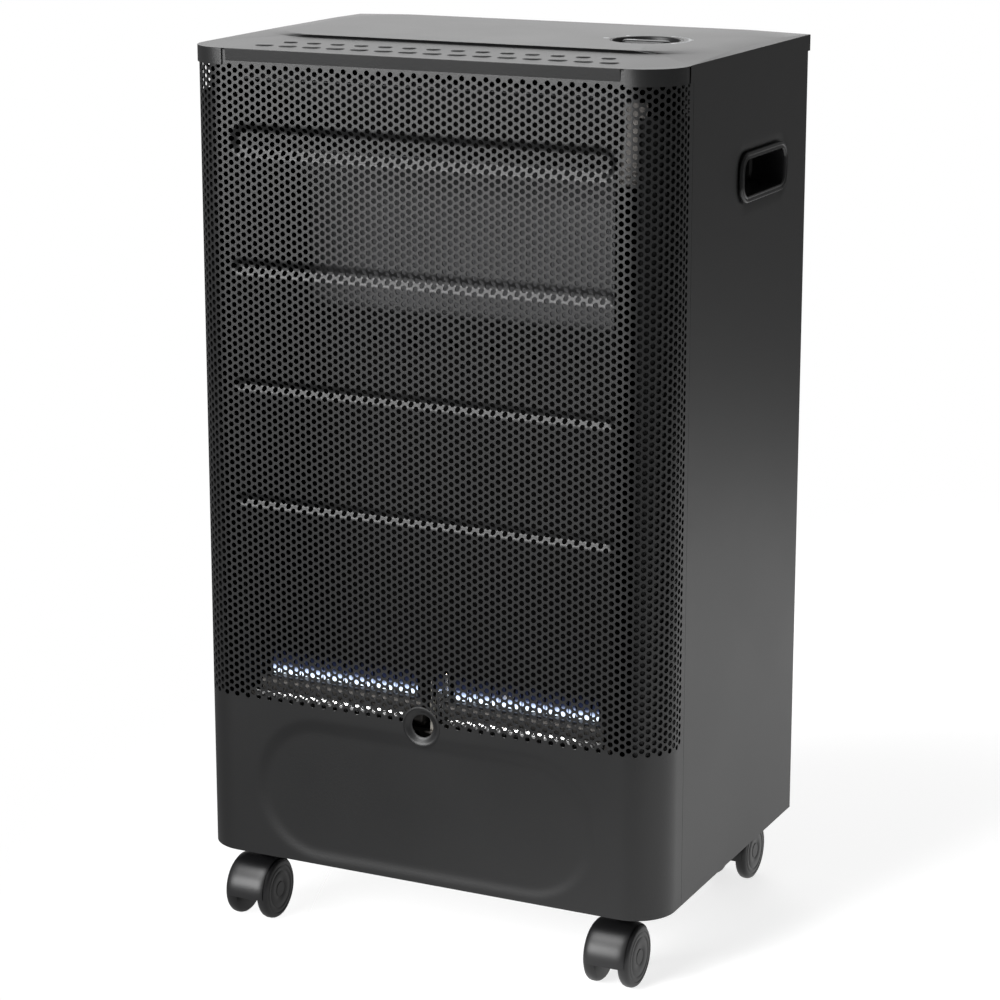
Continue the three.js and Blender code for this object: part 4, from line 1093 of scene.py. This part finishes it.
smoothed("push_sleeve", ZINC, "knob_plunger")
smoothed("knob_spindle", ZINC, "knob")
coil = bmesh.new()
ring_start = Vector((KNOB_PLACE[0] + SPRING_RADIUS, KNOB_PLACE[1], SPRING_FOOT + WIRE_RADIUS))
section = Matrix.Translation(ring_start) @ Matrix.Rotation(math.pi / 2, 4, "X")
bmesh.ops.create_circle(coil, cap_ends=True, segments=10, radius=WIRE_RADIUS, matrix=section)
coil_geom = coil.verts[:] + coil.edges[:] + coil.faces[:]
climb = (SPRING_HEAD - SPRING_FOOT - 2 * WIRE_RADIUS) / (COILS * COIL_STEPS)
bmesh.ops.spin(
    coil, geom=coil_geom, cent=(*KNOB_PLACE, 0), axis=(0, 0, 1), dvec=(0, 0, climb),
    angle=2 * math.pi * COILS, steps=COILS * COIL_STEPS, use_merge=False,
)
bmesh.ops.holes_fill(coil, edges=[e for e in coil.edges if e.is_boundary], sides=0)
faced_outward(coil)
spring = shown("return_spring", coil, ZINC, "cabinet", ["knob_return_spring"], sharp=60)
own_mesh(spring)

# ---------- rear door ----------
# A shallow folded door hung on two lift-off pintles, with rows of air slots under
# pressed louvre hoods, and a quarter-turn latch.
DOOR_FACE = 0.147
SLOT_XS = (-0.08, 0.0, 0.08)
SLOT_FEET = (0.120, 0.591)
SLOT_STEP = 0.016
HOOD_LONG = 0.064
HOOD_HIGH = 0.0075
HOOD_OUT = 0.0028
HOOD_RISE = 0.0072
RIVET_OUTLINE = ((0.0, 0.0), (0.0016, 0.0), (0.0015, 0.0006), (0.0008, 0.0010), (0.0, 0.0011))
RIVET_PLACE = (-0.1745, 0.1514)
RIVET_HEIGHTS = (0.158, 0.628)

smoothed("rear_door", POWDER_COAT, "rear_door", sharp=30)
smoothed("door_latch", SATIN_PLASTIC, "door_latch")
for height in ("lower", "upper"):
    smoothed(f"hinge_pintle_{height}", ZINC)

louvres = bmesh.new()
for x in SLOT_XS:
    for foot in SLOT_FEET:
        for row in range(4):
            hood = capsule(HOOD_LONG, HOOD_HIGH, HOOD_OUT)
            height = foot + row * SLOT_STEP + HOOD_RISE
            upright = Matrix(((-1, 0, 0, x), (0, 0, 1, DOOR_FACE - 0.0001), (0, 1, 0, height)))
            bmesh.ops.transform(hood, matrix=upright.to_4x4(), verts=hood.verts)
            joined(louvres, hood)
coated("door_louvres", louvres, [], "rear_door", sharp=60)

for number, height in enumerate(RIVET_HEIGHTS):
    head = turned(RIVET_OUTLINE, (0, 1, 0), (*RIVET_PLACE, height), steps=20, closed=False)
    shown(f"hinge_rivet_{number}", head, ZINC, "rear_door")

for name in ("front_left", "front_right", "rear_left", "rear_right"):
    smoothed(f"castor_axle_{name}", ZINC, f"castor_{name}")

# ---------- studio ----------
# A round pale floor that glows softly and fades into a white surround. Three soft lights on
# the left: one behind for the lid, one in front for the top of the front, one overhead.
FLOOR_CENTRE = (1.1, 0.35, 0.0)
FADE_START = 0.75
FADE_END = 1.62

floor_mesh = bpy.data.meshes.new("floor")
floor_shape = bmesh.new()
bmesh.ops.create_circle(floor_shape, cap_ends=True, segments=96, radius=4.0)
floor_shape.to_mesh(floor_mesh)
floor_shape.free()
floor = bpy.data.objects.new("floor", floor_mesh)
bpy.context.collection.objects.link(floor)
floor_material, floor_shader, floor_paint = coating("floor", Roughness=0.9, Emission_Strength=0.7)
floor_shader.inputs["Base Color"].default_value = (0.8, 0.8, 0.8, 1)
floor_shader.inputs["Emission Color"].default_value = (1, 1, 1, 1)
from_centre = floor_paint.node(
    "ShaderNodeVectorMath", {"operation": "DISTANCE"}, {0: floor_paint.place, 1: FLOOR_CENTRE},
    output="Value",
)
shown_share = floor_paint.node(
    "ShaderNodeMapRange", {"interpolation_type": "SMOOTHSTEP"},
    {"Value": from_centre, "From Min": FADE_START, "From Max": FADE_END, "To Min": 1.0, "To Max": 0.0},
)
feed(floor_shader, "Alpha", shown_share)
floor_mesh.materials.append(floor_material)


def soft_light(name, place, target, size, radiance):
    """A rectangle of even light, this bright when looked at."""
    data = bpy.data.lights.new(name, "AREA")
    data.shape = "RECTANGLE"
    data.size, data.size_y = size
    data.energy = radiance * size[0] * size[1] * math.pi
    lamp = bpy.data.objects.new(name, data)
    lamp.location = place
    aim = Vector(target) - Vector(place)
    lamp.rotation_euler = aim.to_track_quat("-Z", "Y").to_euler()
    bpy.context.collection.objects.link(lamp)


soft_light("back_light", (-1.5, 2.9, 1.8), (0, 0, 0.7), (2.6, 2.7), 1.4)
soft_light("front_light", (-1.15, -2.45, 1.15), (0, 0, 0.65), (1.6, 1.4), 14)
soft_light("overhead_light", (-0.85, -1.4, 2.5), (0, 0, 0.5), (1.6, 1.2), 10)

world = bpy.data.worlds.new("surround")
world.use_nodes = True
surround = Paint(world)
white = surround.node("ShaderNodeBackground", inputs={"Color": (1, 1, 1, 1), "Strength": 1.0})
dim = surround.node("ShaderNodeBackground", inputs={"Color": (1, 1, 1, 1), "Strength": 0.2})
seen = surround.node("ShaderNodeLightPath")
both = surround.node("ShaderNodeMixShader", inputs={0: seen, 1: dim, 2: white})
world.node_tree.links.new(both.socket, world.node_tree.nodes["World Output"].inputs["Surface"])
bpy.context.scene.world = world
bpy.context.scene.view_settings.view_transform = "Standard"
